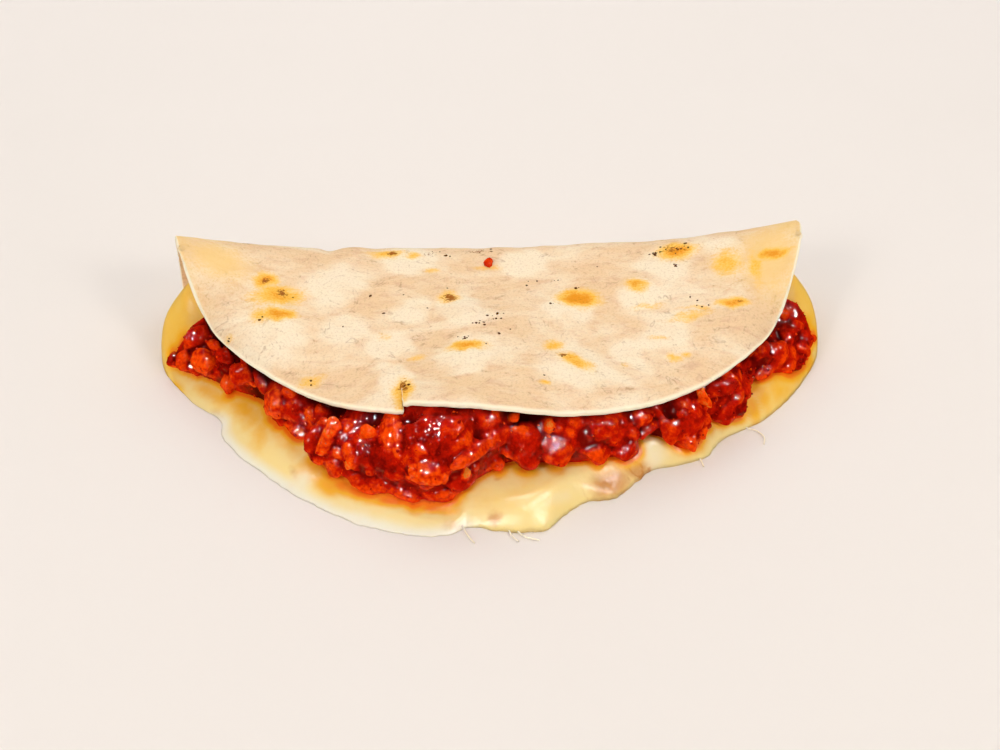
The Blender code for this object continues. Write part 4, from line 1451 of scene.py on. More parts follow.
# Pieces that stand out, from left to right.
PIECES = rows_of(ChoppedPiece, (
    ((-74.6, 16, 13), (3.6, 2.6, 2.4), 0, 0.34), ((-73, 8.3, 9.1), (3.7, 2.9, 2.6), -10, 0.78, 0.6),
    ((-78.3, 11.8, 6.8), (2.2, 2.8, 2), 0, 0.58), ((-69.5, 8.9, 14), (2.2, 1.5, 1.6), 0, 0.5, 0.3),
    ((-66.9, 3.2, 6.2), (2, 2.4, 1.6), 0, 0.66, -0.3), ((-63, 0.6, 11.5), (3.2, 2.6, 2.2), 0, 0.46),
    ((-54.3, -9.3, 10.5), (3.1, 3.6, 2.8), 0, 0.68, 0.3), ((-47.8, -11, 10.5), (4, 3.8, 2.6), 0, 0.25),
    ((-49.5, -13.4, 6), (3.6, 2, 1.6), 0, 0.6, -0.3), ((-67.3, 6.5, 12.8), (2.6, 2, 1.8), 0, 0.2),
    ((-58.2, -1.5, 11.5), (3.6, 2, 2), -30, 0.3), ((-45.3, -20.3, 9.5), (2, 4, 2), 0, 0.3),
    ((-43.5, -22.6, 7.5), (3.4, 3, 2.2), 0, 0.55), ((-40.6, -25.6, 6.2), (3.4, 2.2, 1.8), -20, 0.5),
    ((-37, -27.6, 6.4), (3.2, 2.2, 1.8), -15, 0.32), ((-29.6, -32, 5.6), (3.2, 1.8, 1.6), -10, 0.55),
    ((-40.3, -22.4, 12.6), (5.6, 1.9, 2.1), 88, 0.82, 1.6),
    ((-34.8, -21.8, 14.2), (4.2, 3.8, 2.6), 0, 0.42, 0.2),
    ((-31.4, -24.6, 16), (1.8, 1.7, 1.5), 0, 0.78, 0.9),
    ((-35.8, -28.6, 9.4), (1.5, 1.7, 1.4), 0, 0.8, 0.2),
    ((-25.5, -25.4, 16.2), (5.8, 3, 2.6), -58, 0.76, 1.2),
    ((-23.5, -30.6, 12.5), (3, 3.6, 2.2), 0, 0.6, 0.2),
    ((-18.2, -28.6, 17.6), (2.9, 1.4, 1.5), -60, 0.86, 0.9),
    ((-17.1, -25.4, 19.6), (3, 1.5, 1.6), 80, 0.72), ((-11.1, -27.9, 18.8), (3.4, 4.8, 2.6), 0, 0.48, 0.3),
    ((-9.2, -29.6, 17.8), (1.6, 1.4, 1.2), 30, 0.62, 0.6),
    ((-12.8, -27, 19.4), (1.5, 1.3, 1.2), 0, 0.7, 0.5),
    ((-14.1, -30.3, 16.6), (1.9, 1.8, 1.5), 0, 0.62, 0.3), ((-8.5, -32.6, 14.4), (6.2, 2, 2), 3, 0.6, 1.5),
    ((-18.4, -34.6, 12.4), (4.6, 3.1, 2.6), -12, 0.82, 1), ((-10, -33.6, 9), (4.2, 3.6, 2.2), 0, 0.28),
    ((-8.6, -34, 10.6), (1, 1.1, 0.9), 0, 0.98, 0.4), ((-12.8, -35.6, 5.6), (3.4, 1.5, 1.6), 0, 0.6, -0.4),
    ((-24, -31.6, 6.8), (4.4, 2.4, 2.2), -8, 0.3, -0.3),
    ((-31.5, -29.6, 7.2), (3.8, 2.4, 2), -15, 0.3, -0.3),
    ((-24.8, -33.4, 5), (5.8, 2, 1.7), -8, 0.6, -0.1), ((-33.2, -30.8, 5), (4, 2, 1.6), -18, 0.52, -0.1),
    ((-15.8, -35.6, 5), (4, 1.6, 1.5), -4, 0.45, -0.1), ((-1.3, -26, 15), (4.2, 3.4, 2.6), 0, 0.5, 0.2),
    ((5.1, -27, 12), (4.4, 5.6, 2.8), 0, 0.38, 0.2), ((3.6, -25.6, 15.8), (1.5, 1.1, 1.1), 0, 0.68, 0.5),
    ((2.5, -24.2, 18.3), (1.3, 1.3, 1.2), 0, 0.7, 0.2), ((-3.8, -25, 18.5), (1.2, 1.2, 1.1), 0, 0.6, 0.3),
    ((10.6, -25.2, 16), (1.1, 1.6, 1.1), 0, 0.78, 0.3),
    ((12.2, -27.2, 10.4), (3.8, 4.8, 2.6), 0, 0.52, 0.2),
    ((22.3, -26.2, 7.8), (3.2, 2.9, 2.6), 0, 0.6, 0.5), ((24.2, -24.4, 13.6), (3.4, 3.2, 2.4), 0, 0.45),
    ((29.6, -24.2, 7.9), (3.4, 3.3, 2.5), 0, 0.26, 0.2), ((34.4, -18.6, 13), (4.2, 3.2, 2.5), 20, 0.58),
    ((35.5, -20.2, 9.9), (4, 1.8, 1.8), 0, 0.42), ((40.9, -21.6, 9.4), (2.2, 4, 2.2), 0, 0.45),
    ((45.1, -21.2, 6.4), (2.2, 3.2, 2.2), 0, 0.7, 0.2), ((48.8, -18.6, 6.6), (1.4, 2, 1.5), 0, 0.76, 0.2),
    ((47.8, -14.7, 14.3), (3.2, 1.25, 1.5), 82, 0.9, 1.5),
    ((43.8, -17.6, 13.4), (2.2, 1.2, 1.3), 80, 0.62, 0.2), ((53, -12, 14.4), (4, 2.6, 2.4), 15, 0.22),
    ((59, -8.5, 9.5), (2.4, 4.6, 2.2), 0, 0.55, 0.1), ((59, -10.3, 5.4), (2, 2, 1.6), 0, 0.58),
    ((54.8, -12.8, 7.2), (3.2, 3.2, 2.2), 0, 0.35), ((58.1, -4.6, 13.8), (4, 1.4, 1.6), 25, 0.6, 0.3),
    ((70.2, 5, 10.2), (4.6, 3.4, 2.6), 15, 0.44), ((66, 4.5, 12.8), (3, 2.4, 2.2), 20, 0.3),
    ((75, 5, 5.6), (3, 1.6, 1.4), 20, 0.62), ((67.8, 1.1, 7), (3.4, 1.8, 1.6), 10, 0.55),
    ((74.9, 12, 11), (3.8, 3.2, 2.6), 0, 0.22), ((80, 13, 7.6), (2.4, 3.4, 2.4), 0, 0.3),
    ((77.4, 14.8, 11.4), (2.4, 1.8, 1.8), 30, 0.42, 0.3), ((74, 16.6, 13.4), (2.2, 1.8, 1.6), 0, 0.5, 0.2),
    ((79.4, 9.5, 6.6), (1.6, 2.2, 1.6), 0, 0.55), ((79, 17, 8.6), (1.2, 1.2, 1.1), 0, 0.5, 0.3),
))  # fmt: skip

# Hollows sunk into the heap, which the material paints dark as pooled sauce and painted shade: place in
# plan, radius and depth.
HOLLOWS = (
    (-6.3, -27.6, 2, 6), (40.1, -17.6, 2.4, 5), (-31, -27.5, 2.4, 1.6), (18.2, -26, 1.5, 3),
    (-39, -15, 3.2, 4), (5, -22, 3, 3), (-21.5, -24.5, 1.9, 3.5), (-64.6, 4.2, 2, 2.5),
    (-30, -21, 3.4, 2.5), (8.6, -26.8, 1, 2),
)  # fmt: skip


@dataclass
class Meat:
    """The heap of chopped meat on the cheese, under the upper flap."""

    tortilla: Tortilla
    cheese: Cheese
    outline: tuple = (
        (83.0, 14.5), (79.0, 18.5), (66.0, 22.0), (-66.0, 22.0), (-78.0, 18.0), (-82.0, 14.0),
        (-75.0, 10.5), (-68.0, 5.0), (-59.0, -1.0), (-55.5, -8.5), (-46.5, -13.0), (-45.0, -21.0),
        (-28.0, -33.0), (-14.0, -36.0), (-4.0, -30.0), (3.0, -26.5), (22.0, -26.5), (31.0, -24.0),
        (36.5, -17.5), (41.0, -21.0), (47.5, -21.0), (52.5, -13.0), (60.0, -11.5), (65.0, 1.5),
        (75.0, 4.0), (81.5, 10.0),
    )  # fmt: skip
    back: float = 24.0
    edge: float = 9.5
    shoulder: float = 2.2
    end_from: float = 58.0
    end_to: float = 80.0
    end_drop: float = 0.8
    setback: float = 1.0
    core_sectors: int = 260
    core_rings: int = 40
    core_inset: float = 1.3
    core_sink: float = 0.75
    core_lumps: tuple = ((0.8, 4.0, 71), (0.4, 1.8, 72))
    cuts: int = 12
    cut_depth: tuple = (0.72, 1.0)
    cut_sharpness: int = 16
    sunk_share: float = 0.62
    flap_gap: float = 0.1
    voxel: float = 0.32
    peek: float = 7.0
    most_triangles: int = 190000
    filler_rows: tuple = ((0.08, 46), (0.28, 38), (0.5, 34), (0.72, 30), (0.9, 26))
    filler_size: tuple = (0.8, 2.0)
    melt_rounds: int = 4
    even_rounds: int = 60
    sauce_tone: float = 0.22
    sauce_from: float = 1.4
    # Where the painted shade under the upper flap starts and where it is full, as distances in front of the
    # flap's edge.
    shade_from: float = -0.3
    shade_to: float = -4.0
    seed: int = 7
    finish: RedStewedMeat = field(default_factory=RedStewedMeat)

    def reach(self, theta: np.ndarray) -> np.ndarray:
        """The heap's outline, a little inside the cheese's."""
        own = self.cheese.cut_off(self.cheese.outline_reach(self.outline, theta), theta, self.back)
        return np.minimum(own, self.cheese.reach(theta) - self.setback)

    def floor(self, x: np.ndarray, y: np.ndarray) -> np.ndarray:
        """Underside of the heap, just clear of the cheese."""
        return self.cheese.top(x, y) + self.cheese.gap

    def top(self, x: np.ndarray, y: np.ndarray) -> np.ndarray:
        """Top of the heap: steep round its edge, and close under the upper flap.

        Args:
            x: Places along the fold.
            y: Places across it.

        Returns:
            Heights in millimetres.
        """
        theta, distance = self.cheese.polar(x, y)
        low = self.floor(x, y)
        drop = self.end_drop * smooth((np.abs(x) - self.end_from) / (self.end_to - self.end_from))
        ceiling = self.tortilla.underside(x, y) - self.cheese.gap
        room = np.maximum(ceiling - low, 0.2) * (1 - drop)
        return low + room * rounded(self.reach(theta) - distance, self.edge, self.shoulder)

    def core(self) -> bpy.types.Object:
        """The heap's body of sauce and small bits, a little under the plain top.

        Returns:
            One closed object, not yet fused with the pieces.
        """
        theta = np.linspace(-math.pi, math.pi, self.core_sectors, endpoint=False)
        shares = 1 - (1 - np.linspace(0, 1, self.core_rings + 1)[1:]) ** 1.5
        x, y = self.cheese.around(shares, self.reach(theta) - self.core_inset, theta)
        base = self.floor(x, y) - 0.6
        sink = self.core_sink
        for high, size, seed in self.core_lumps:
            sink = sink + high * flat_noise(x, y, size, seed)
        for at_x, at_y, radius, depth in HOLLOWS:
            sink = sink + depth * np.exp(-(((x - at_x) ** 2 + (y - at_y) ** 2) / radius**2))
        z = np.maximum(self.top(x, y) - np.maximum(sink, 0.2), base + 0.4)
        upper = np.stack([x, y, z], axis=-1).reshape(-1, 3)
        lower = np.stack([x, y, base], axis=-1).reshape(-1, 3)
        n, count = len(upper), len(theta)
        middle = np.array([[*self.cheese.middle, 0.0]] * 2)
        middle[0, 2] = z[0].mean()
        middle[1, 2] = base[0].mean()
        points = np.concatenate([upper, lower, middle])
        lines = [np.arange(count) + k * count for k in range(len(shares))]
        faces = []
        for a, b in zip(lines[:-1], lines[1:]):
            faces += ring_quads(a, b)
            low_a, low_b = a + n, b + n
            faces += np.stack([low_a, np.roll(low_a, -1), np.roll(low_b, -1), low_b], axis=-1).tolist()
        faces += ring_quads(lines[-1], lines[-1] + n)
        faces += fan(2 * n, lines[0]) + fan(2 * n + 1, (lines[0] + n)[::-1])
        return new_object("meat_core", points, faces)

    def fillers(self, rng: np.random.Generator) -> list[ChoppedPiece]:
        """Small pieces between those that stand out, in rows up the heap's open side.

        Args:
            rng: The source of scatter.

        Returns:
            The pieces.
        """
        fine = np.linspace(math.radians(172), math.radians(368), 1200)
        far = self.reach(fine)
        steps = np.hypot(np.diff(far * np.cos(fine)), np.diff(far * np.sin(fine)))
        along = np.concatenate([[0], np.cumsum(steps)])
        made = []
        for share, count in self.filler_rows:
            depth = self.edge * (1 - (1 - share**self.shoulder) ** (1 / self.shoulder))
            spots = (np.arange(count) + rng.uniform(0.1, 0.9, count)) / count * along[-1]
            for theta in np.interp(spots, along, fine):
                size = rng.uniform(*self.filler_size)
                away = float(self.reach(np.array([theta]))[0]) - depth - rng.uniform(0, 1.2)
                x = self.cheese.middle[0] + away * math.cos(theta)
                y = self.cheese.middle[1] + away * math.sin(theta)
                if any(math.hypot(x - h[0], y - h[1]) < h[2] + 0.6 for h in HOLLOWS):
                    continue
                shape = (size * rng.uniform(0.9, 1.7), size, size * rng.uniform(0.7, 1.0))
                tone = float(np.clip(rng.normal(0.42, 0.22), 0.05, 0.95))
                z = float(self.top(np.array([x]), np.array([y]))[0])
                lift = rng.uniform(-0.6, 0.2)
                made.append(ChoppedPiece((x, y, z), shape, rng.uniform(0, 180), tone, lift))
        return made

    def build(self) -> bpy.types.Object:
        """Builds and dresses the heap.

        Returns:
            The dressed heap.
        """
        rng = np.random.default_rng(self.seed)
        pieces = list(PIECES) + self.fillers(rng)
        core = self.core()
        sphere = bmesh.new()
        bmesh.ops.create_icosphere(sphere, subdivisions=4, radius=1.0)
        directions = np.array([v.co[:] for v in sphere.verts])
        triangles = np.array([[v.index for v in f.verts] for f in sphere.faces])
        sphere.free()
        all_points, all_faces, samples, tones = [], [], [], []
        for piece in pieces:
            body = self.chopped_body(piece, directions, rng)
            all_faces.append(triangles + sum(len(p) for p in all_points))
            all_points.append(body)
            samples.append(body[::6])
            tones.append(np.full(len(body[::6]), piece.tone))
        bits = new_object("meat_bits", np.concatenate(all_points), np.concatenate(all_faces).tolist())
        made = self.fuse(core, bits)
        self.dress(made, np.concatenate(samples), np.concatenate(tones))
        return made

    def chopped_body(
        self, piece: ChoppedPiece, directions: np.ndarray, rng: np.random.Generator
    ) -> np.ndarray:
        """A rounded chunk with a few flat cut faces, in its place on the heap.

        Args:
            piece: Its place and size.
            directions: Unit directions to its points.
            rng: The source of its cut faces.

        Returns:
            Its points, as rows of three.
        """
        cuts = rng.normal(size=(self.cuts, 3))
        cuts /= np.linalg.norm(cuts, axis=1, keepdims=True)
        depth = rng.uniform(*self.cut_depth, self.cuts)
        facing = np.maximum(directions @ cuts.T, 0) / depth
        radius = (facing**self.cut_sharpness).sum(axis=1) ** (-1 / self.cut_sharpness)
        body = directions * np.clip(radius, 0.5, 1.12)[:, None] * np.array(piece.size)
        away = rng.uniform(0, 90, 3)
        rough = 0.5 * lattice_noise(body / 2.6 + away, 81) + 0.16 * lattice_noise(body / 1.1 + away, 82)
        body = body + directions * rough[:, None]
        body = body @ np.array(Matrix.Rotation(math.radians(piece.turn), 3, "Z")).T
        outward, along, up_slope = self.facing(piece.place[0], piece.place[1])
        body = body @ np.stack([along, up_slope, outward])
        body = body + piece.place + outward * (piece.lift - self.sunk_share * piece.size[2])
        ceiling = self.tortilla.underside(body[:, 0], body[:, 1]) - self.flap_gap
        covered = self.under_flap(body[:, 0], body[:, 1], 0.8)
        body[:, 2] = np.where(covered, np.minimum(body[:, 2], ceiling), body[:, 2])
        return body

    def facing(self, x: float, y: float) -> tuple[np.ndarray, np.ndarray, np.ndarray]:
        """Unit directions at a place of the heap: out of it, along its contour and up its slope.

        Args:
            x: The place along the fold.
            y: The place across it.

        Returns:
            The three directions.
        """
        step = 0.5
        at_x = np.array([x, x + step, x])
        at_y = np.array([y, y, y + step])
        theta, distance = self.cheese.polar(at_x, at_y)
        depth = self.reach(theta) - distance
        away = np.array([depth[0] - depth[1], depth[0] - depth[2], 0.0])
        away /= max(float(np.linalg.norm(away)), 1e-6)
        steep = 0.15 + 1.3 * (1 - float(smooth(depth[0] / self.edge)))
        outward = away * steep + (0.0, 0.0, 1.0)
        outward /= np.linalg.norm(outward)
        along = np.cross((0.0, 0.0, 1.0), away)
        return outward, along, np.cross(outward, along)

    def under_flap(self, x: np.ndarray, y: np.ndarray, margin: float) -> np.ndarray:
        """True where the upper flap, widened by a margin, covers a point."""
        return (self.beyond_rim(x, y) < margin) & (np.abs(x) < self.tortilla.half_width)

    def beyond_rim(self, x: np.ndarray, y: np.ndarray) -> np.ndarray:
        """How far a point lies in front of the upper flap's edge, below 0 under the flap.

        Args:
            x: Places along the fold.
            y: Places across it.

        Returns:
            Distances in millimetres.
        """
        sheet = self.tortilla
        u = np.clip(x / sheet.half_width, -1, 1)
        radius = sheet.bend_radius(u)
        s = sheet.fold_y - sheet.sheet / 2 - radius - y + radius * math.pi / 2
        return s - sheet.reach(u, sheet.upper_reach)

    def fuse(self, core: bpy.types.Object, bits: bpy.types.Object) -> bpy.types.Object:
        """Fuses the core and the pieces into one skin, as the sauce does.

        Args:
            core: The heap's body.
            bits: The pieces.

        Returns:
            One object.
        """
        shape = bmesh.new()
        shape.from_mesh(core.data)
        shape.from_mesh(bits.data)
        shape.to_mesh(core.data)
        shape.free()
        bpy.data.objects.remove(bits)
        core.name = "meat_heap"
        skin = core.modifiers.new("skin", "REMESH")
        skin.mode = "VOXEL"
        skin.voxel_size = self.voxel * MM
        skin.use_smooth_shade = True
        melted = core.modifiers.new("melted", "SMOOTH")
        melted.factor = 0.5
        melted.iterations = self.melt_rounds
        made = baked(core)
        made.data.name = "meat_heap"
        points = point_places(made)
        normal = point_normals(made)
        low = points[:, 2] < self.floor(points[:, 0], points[:, 1]) + 0.2
        unseen = self.under_flap(points[:, 0], points[:, 1], -self.peek) | (low & (normal[:, 2] < -0.2))
        group = made.vertex_groups.new(name="unseen")
        group.add(np.flatnonzero(unseen).tolist(), 1.0, "REPLACE")
        thinner = made.modifiers.new("thinner", "DECIMATE")
        thinner.ratio = self.most_triangles / (2 * len(points))
        thinner.vertex_group = group.name
        made = baked(made)
        made.vertex_groups.clear()
        points = point_places(made)
        pebbly = 0.03 + 0.08 * smooth(0.3 + 1.5 * lattice_noise(points / 6.0, 93))
        rise = 0.14 * lattice_noise(points / 2.1, 91) + pebbly * lattice_noise(points / 0.95, 92)
        points = points + point_normals(made) * rise[:, None]
        made.data.vertices.foreach_set("co", (points * MM).ravel())
        made.data.update()
        return made

    def sunk(self, made: bpy.types.Object, rounds: int) -> np.ndarray:
        """How far each point lies below the evened-out surface round it.

        Args:
            made: A mesh object.
            rounds: How many times the surface is evened out.

        Returns:
            Depths in millimetres, below 0 on a rise.
        """
        points = point_places(made)
        ends = np.empty(len(made.data.edges) * 2, dtype=np.int32)
        made.data.edges.foreach_get("vertices", ends)
        a, b = ends.reshape(-1, 2).T
        links = np.bincount(a, minlength=len(points)) + np.bincount(b, minlength=len(points))
        even = points.copy()
        for _ in range(rounds):
            total = np.empty_like(points)
            for axis in range(3):
                total[:, axis] = np.bincount(a, even[b, axis], len(points))
                total[:, axis] += np.bincount(b, even[a, axis], len(points))
            even = 0.5 * even + 0.5 * total / np.maximum(links, 1)[:, None]
        return ((even - points) * point_normals(made)).sum(axis=1)

    def dress(self, made: bpy.types.Object, samples: np.ndarray, tones: np.ndarray) -> None:
        """Gives each place of the heap its piece's tone, painted shade in recesses and under the flap, and
        the material.

        Args:
            made: The heap.
            samples: Places on the pieces, as rows of three.
            tones: Their tones.
        """
        points = point_places(made)
        tree = nearest_of(samples)
        tone = np.empty(len(points))
        for i, point in enumerate(points):
            found = tree.find_n(point, 3)
            weight = [1 / (0.05 + distance) for _, _, distance in found]
            near = sum(w * tones[index] for w, (_, index, _) in zip(weight, found)) / sum(weight)
            away = min(found[0][2] / self.sauce_from, 1.0)
            tone[i] = near * (1 - away) + self.sauce_tone * away
        sunk = self.sunk(made, self.even_rounds)
        # Painted shade and light: the tone is darker where a point lies below the evened-out surface round
        # it, and lighter on rises.
        set_attribute(made, "tone", tone - 0.24 * np.clip(sunk / 0.4, -0.5, 1))
        # Painted shade: places under the upper flap's edge go near black, fading in from shade_from to
        # shade_to. Elsewhere the mask is painted shade and pooled sauce in the crevices, taken from how far
        # a point lies below the evened-out surface.
        shaded = self.beyond_rim(points[:, 0], points[:, 1])
        shaded = smooth((self.shade_from - shaded) / (self.shade_from - self.shade_to))
        set_attribute(made, "sauce_and_shade", np.clip((sunk - 0.08) / 0.75, 0, 1) * (1 - shaded) + shaded)
        made.data.materials.append(self.finish.material())


@dataclass
class LooseBits:
    """The small things: flecks and a crumb on the sheet, grains on the meat and threads of cheese."""

    tortilla: Tortilla
    meat: Meat
    fleck_shape: tuple = (0.24, 0.5, 0.3, 1.1, 5)
    fleck_sizes: tuple = (0.55, 1.5)
    grain_shape: tuple = (0.24, 0.8, 3.0, 0.8, 5)
    grain_sizes: tuple = (0.5, 1.5)
    grain_lift: float = 0.08
    grain_count: int = 300
    grain_back: float = 21.0
    thread_radius: float = 0.2
    thread_step: float = 0.5
    crumb_shape: tuple = (1.2, 0.7, 0.2, 1.7, 3)
    crumb_at: tuple = (-0.6, 18.3)
    crumb_tone: float = 0.58
    seed: int = 5

    def flecks(self) -> bpy.types.Object:
        """Char flecks from the griddle, on the upper flap.

        Returns:
            The flecks.
        """
        rng = np.random.default_rng(self.seed)
        rows = []
        for x, s, count, spread in FLECKS:
            for _ in range(count):
                rows.append((x + rng.normal(0, spread), s + rng.normal(0, spread * 0.6)))
        at = np.array(rows)
        places = self.tortilla.place(at[:, 0], at[:, 1])
        places[:, 2] += self.tortilla.sheet / 2 + self.tortilla.fine_relief(at)
        sizes = rng.uniform(*self.fleck_sizes, len(at))
        return grains("char_flecks", places, sizes, self.fleck_shape, CharredFlour().material())

    def threads(self, cheese: bpy.types.Object) -> bpy.types.Object:
        """Thin threads of cheese that hang over its front edge.

        Args:
            cheese: The cheese that they run from.

        Returns:
            The threads.
        """
        values = {"Radius": self.thread_radius * MM, "Step": self.thread_step * MM}
        values["Finish"] = cheese.data.materials[0]
        return strands("cheese_threads", THREADS, values)

    def crumb(self) -> bpy.types.Object:
        """The one red crumb on the upper flap.

        Returns:
            The crumb.
        """
        place = self.tortilla.place(*np.array([self.crumb_at]).T)
        place[:, 2] += self.tortilla.sheet / 2 + 0.5
        own = {"tone": np.array([self.crumb_tone]), "sauce_and_shade": np.zeros(1)}
        return grains("meat_crumb", place, np.ones(1), self.crumb_shape, self.meat.finish.material(), own)

    def chilli(self, heap: bpy.types.Object) -> bpy.types.Object:
        """Small grains of chopped meat and chilli in the sauce that catch the light.

        Args:
            heap: The heap that they lie on.

        Returns:
            The grains.
        """
        rng = np.random.default_rng(self.seed + 1)
        points = point_places(heap)
        normal = point_normals(heap)
        shows = ~self.meat.under_flap(points[:, 0], points[:, 1], -2.5) & (normal[:, 2] > -0.1)
        shows &= points[:, 1] < self.grain_back
        picked = rng.choice(np.flatnonzero(shows), self.grain_count, replace=False)
        own = {"tone": rng.uniform(0.15, 0.75, len(picked)), "sauce_and_shade": np.zeros(len(picked))}
        places = points[picked] + normal[picked] * self.grain_lift
        sizes = rng.uniform(*self.grain_sizes, len(picked)) ** 1.3
        return grains("chilli_grains", places, sizes, self.grain_shape, heap.data.materials[0], own)


# Threads that the melted cheese pulled as it ran, from its front edge outwards.
THREADS = (
    ((-10.3, -41, 0.6), (-9, -44, 0.4), (-7.6, -46.2, 0.32)),
    ((0, -41.6, 0.6), (1, -44.4, 0.4), (2.4, -46.2, 0.32)),
    ((1.8, -42.2, 0.6), (3.6, -44.6, 0.4), (7.2, -46, 0.32)),
    ((58, -10.4, 0.7), (60.6, -11.6, 0.4), (63.3, -12.8, 0.32), (64.7, -15, 0.32), (64.2, -17.4, 0.32)),
    ((46.2, -19.5, 0.7), (47.8, -21.8, 0.4), (48.3, -24.4, 0.32)),
    ((41.6, -23, 0.7), (44, -22.6, 0.4), (46.2, -21, 0.4)),
)  # fmt: skip


# Char flecks: place along the fold, distance from the fold line, number and spread.
FLECKS = (
    (-22.4, 30.7, 1, 0.1), (-27.4, 37.1, 1, 0.1), (-16.8, 36.3, 1, 0.1), (-37.3, 42.3, 1, 0.1),
    (-11.6, 28, 1, 0.1), (-56.9, 40.3, 3, 0.5), (-49.8, 31.7, 1, 0.1), (-62.8, 11.6, 3, 0.7),
    (-10.7, 14.5, 3, 0.7), (21.4, 29.3, 3, 0.6), (14.3, 36.3, 2, 0.5), (-4.1, 43.8, 6, 0.9),
    (-1.8, 41, 5, 1.2), (0.8, 39.3, 2, 0.8), (-8.2, 49.5, 6, 1.2), (-3.2, 51.5, 1, 0.2),
    (10.5, 26.8, 3, 1.6), (16.5, 26, 2, 0.8), (42.2, 17.6, 7, 0.8), (49.6, 16.6, 4, 0.7),
    (46.8, 23.2, 4, 0.8), (46.2, 16.4, 8, 2.2), (48.3, 35.5, 2, 0.5), (50.2, 38, 4, 1.3),
    (15.1, 55.5, 2, 0.3), (10.1, 62.5, 1, 0.2), (-22.4, 65.2, 3, 0.5), (-65.1, 44.4, 2, 0.5),
    (-79, 9, 1, 0.2), (-0.8, 11.7, 4, 1.2), (-30, 31, 1, 0.3), (27, 21, 1, 0.3), (-44.5, 59, 2, 1),
    (1.2, 46, 2, 0.9), (-26.5, 10, 2, 0.6), (-14, 12, 2, 1),
)  # fmt: skip


@dataclass(frozen=True)
class CharredFlour:
    """Flour burnt on the griddle: near black, dull and rough."""

    black: str = "2c1203"
    brown: str = "7a3f0c"
    roughness: float = 0.75
    patch: float = 1.2

    def material(self) -> bpy.types.Material:
        """Builds the material.

        Returns:
            The material.
        """
        made, add = new_material("charred_flour")
        place = add("ShaderNodeTexCoord", {}, "Object")
        patchy = add("ShaderNodeTexNoise", {"Vector": place, "Scale": 1 / (self.patch * MM), "Detail": 1.0})
        inputs = {
            "Base Color": layered(add, linear(self.black), [(patchy, self.brown, 0.0, 1.0, 1.0)], "LINEAR"),
            "Roughness": self.roughness,
            "Specular IOR Level": 0.05,
        }
        return set_shader(made, inputs)


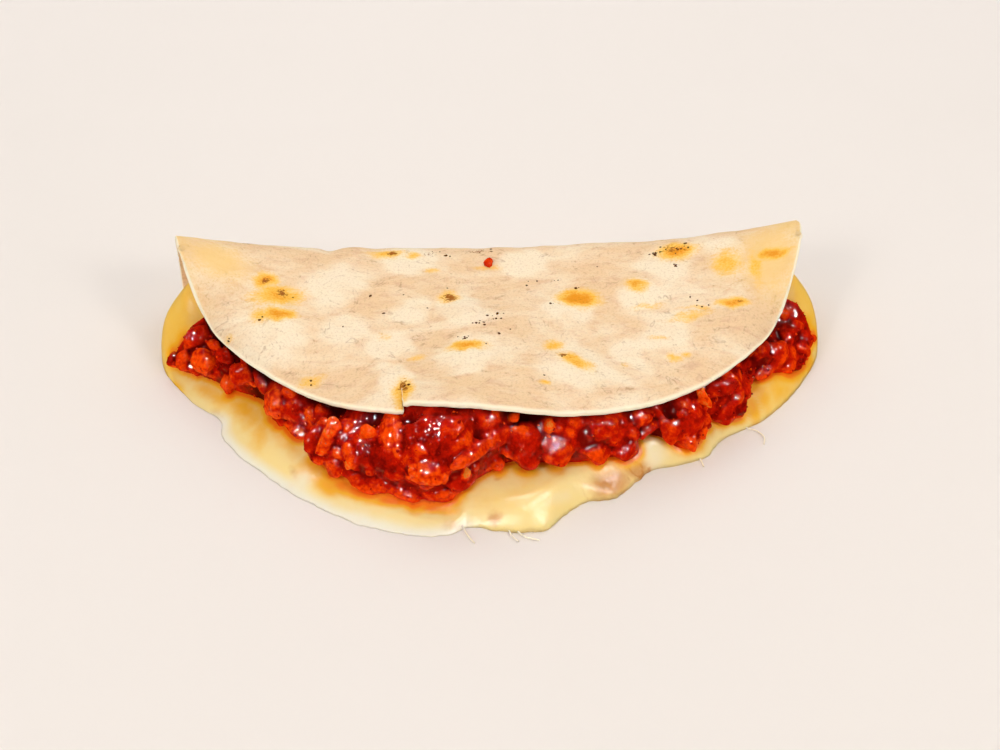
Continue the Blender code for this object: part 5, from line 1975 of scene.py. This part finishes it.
class Studio:
    """The floor, the lights and the camera."""

    @staticmethod
    def floor() -> None:
        """A wide, pale floor under the object."""
        made, add = new_material("pale_satin_floor")
        place = add("ShaderNodeTexCoord", {}, "Object")
        cloud = add("ShaderNodeTexNoise", {"Vector": place, "Scale": 6.0, "Detail": 2.0})
        colour = layered(add, linear("efe9e6"), [(cloud, "ebe5e1", 0.0, 1.0, 1.0)], "LINEAR")
        set_shader(made, {"Base Color": colour, "Roughness": 0.5, "Specular IOR Level": 0.0})
        far, low = 2500, -0.1
        corners = [[-far, -far, low], [far, -far, low], [far, far, low], [-far, far, low]]
        plane = new_object("floor", np.array(corners), [[0, 1, 2, 3]])
        plane.data.materials.append(made)
        plane.visible_glossy = False

    @staticmethod
    def light(
        name: str, place: tuple, aim: tuple, size: tuple, power: float, colour: str
    ) -> bpy.types.Object:
        """Adds a soft box.

        Args:
            name: The light's name.
            place: Where it stands, in millimetres.
            aim: Where it points, in millimetres.
            size: Its width and height, in millimetres.
            power: Its power in watts.
            colour: Its colour, in hex.

        Returns:
            The lamp.
        """
        lamp = bpy.data.lights.new(name, "AREA")
        lamp.shape = "RECTANGLE"
        lamp.size, lamp.size_y = size[0] * MM, size[1] * MM
        lamp.energy = power
        lamp.color = linear(colour)[:3]
        stand = bpy.data.objects.new(name, lamp)
        stand.location = Vector(place) * MM
        stand.rotation_euler = (Vector(aim) - Vector(place)).to_track_quat("-Z", "Y").to_euler()
        bpy.context.scene.collection.objects.link(stand)
        return stand

    @staticmethod
    def camera() -> None:
        """The camera, at the photograph's viewing angle."""
        place = Vector((-18.6, -275.8, 261.1)) * MM
        aim = Vector((1.4, 10.5, 0.0)) * MM
        lens = bpy.data.cameras.new("camera")
        lens.lens = 54.76
        lens.sensor_width = 36.0
        lens.clip_start = 0.01
        made = bpy.data.objects.new("camera", lens)
        ahead = (aim - place).normalized()
        level = ahead.cross(Vector((0, 0, 1))).normalized()
        roll = math.radians(1.12)
        right = math.cos(roll) * level + math.sin(roll) * level.cross(ahead)
        axes = Matrix((right, right.cross(ahead), -ahead)).transposed().to_4x4()
        axes.translation = place
        made.matrix_world = axes
        bpy.context.scene.collection.objects.link(made)
        bpy.context.scene.camera = made

    def build(self) -> None:
        """Builds the whole studio."""
        self.floor()
        self.camera()
        for name, place, aim, size, power, colour in (
            ("key_left", (-420, -430, 520), (0, 40, 10), (150, 280), 1.56, "fffaf2"),
            ("key_right", (430, -380, 480), (0, 40, 10), (140, 260), 1.26, "fffaf2"),
            ("overhead", (0, 460, 680), (0, 220, 0), (900, 600), 2.9, "fffefc"),
        ):
            self.light(name, place, aim, size, power, colour).visible_glossy = False
        for name, place, size, power in (
            ("glint_left", (-270, -400, 520), (34, 22), 11.0),
            ("glint_right", (320, -300, 560), (22, 34), 10.0),
            ("glint_top", (150, -30, 640), (42, 24), 9.0),
            ("glint_back", (-40, 300, 620), (46, 18), 5.0),
        ):
            self.light(name, place, (0, -10, 10), size, power, "ffffff").visible_diffuse = False
        world = bpy.data.worlds.new("studio")
        world.use_nodes = True
        back = world.node_tree.nodes["Background"]
        back.inputs["Color"].default_value = linear("fffaf4")
        back.inputs["Strength"].default_value = 0.5
        world.cycles_visibility.glossy = False
        bpy.context.scene.world = world
        bpy.context.scene.view_settings.view_transform = "Standard"


def main() -> None:
    """Builds the pieces in order."""
    logging.basicConfig(level=logging.INFO, format="%(name)s: %(message)s")
    tortilla = Tortilla()
    cheese = Cheese(tortilla)
    meat = Meat(tortilla, cheese)
    bits = LooseBits(tortilla, meat)
    heap = meat.build()
    melt = cheese.build(heap)
    made = (
        (tortilla.build(), "tortilla", Slot.TORTILLA),
        (melt, "melted_cheese", Slot.CHEESE),
        (heap, "meat_filling", Slot.MEAT),
        (bits.threads(melt), None, Slot.CHEESE),
        (bits.flecks(), None, Slot.TORTILLA),
        (bits.crumb(), None, Slot.MEAT),
        (bits.chilli(heap), None, Slot.MEAT),
    )
    for piece, node, slot in made:
        if node:
            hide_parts(node)
        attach(piece, "root")
        piece.data.calc_loop_triangles()
        LOG.info("%s: %d triangles", piece.name, len(piece.data.loop_triangles))
    Studio().build()


if __name__ == "__main__":
    main()
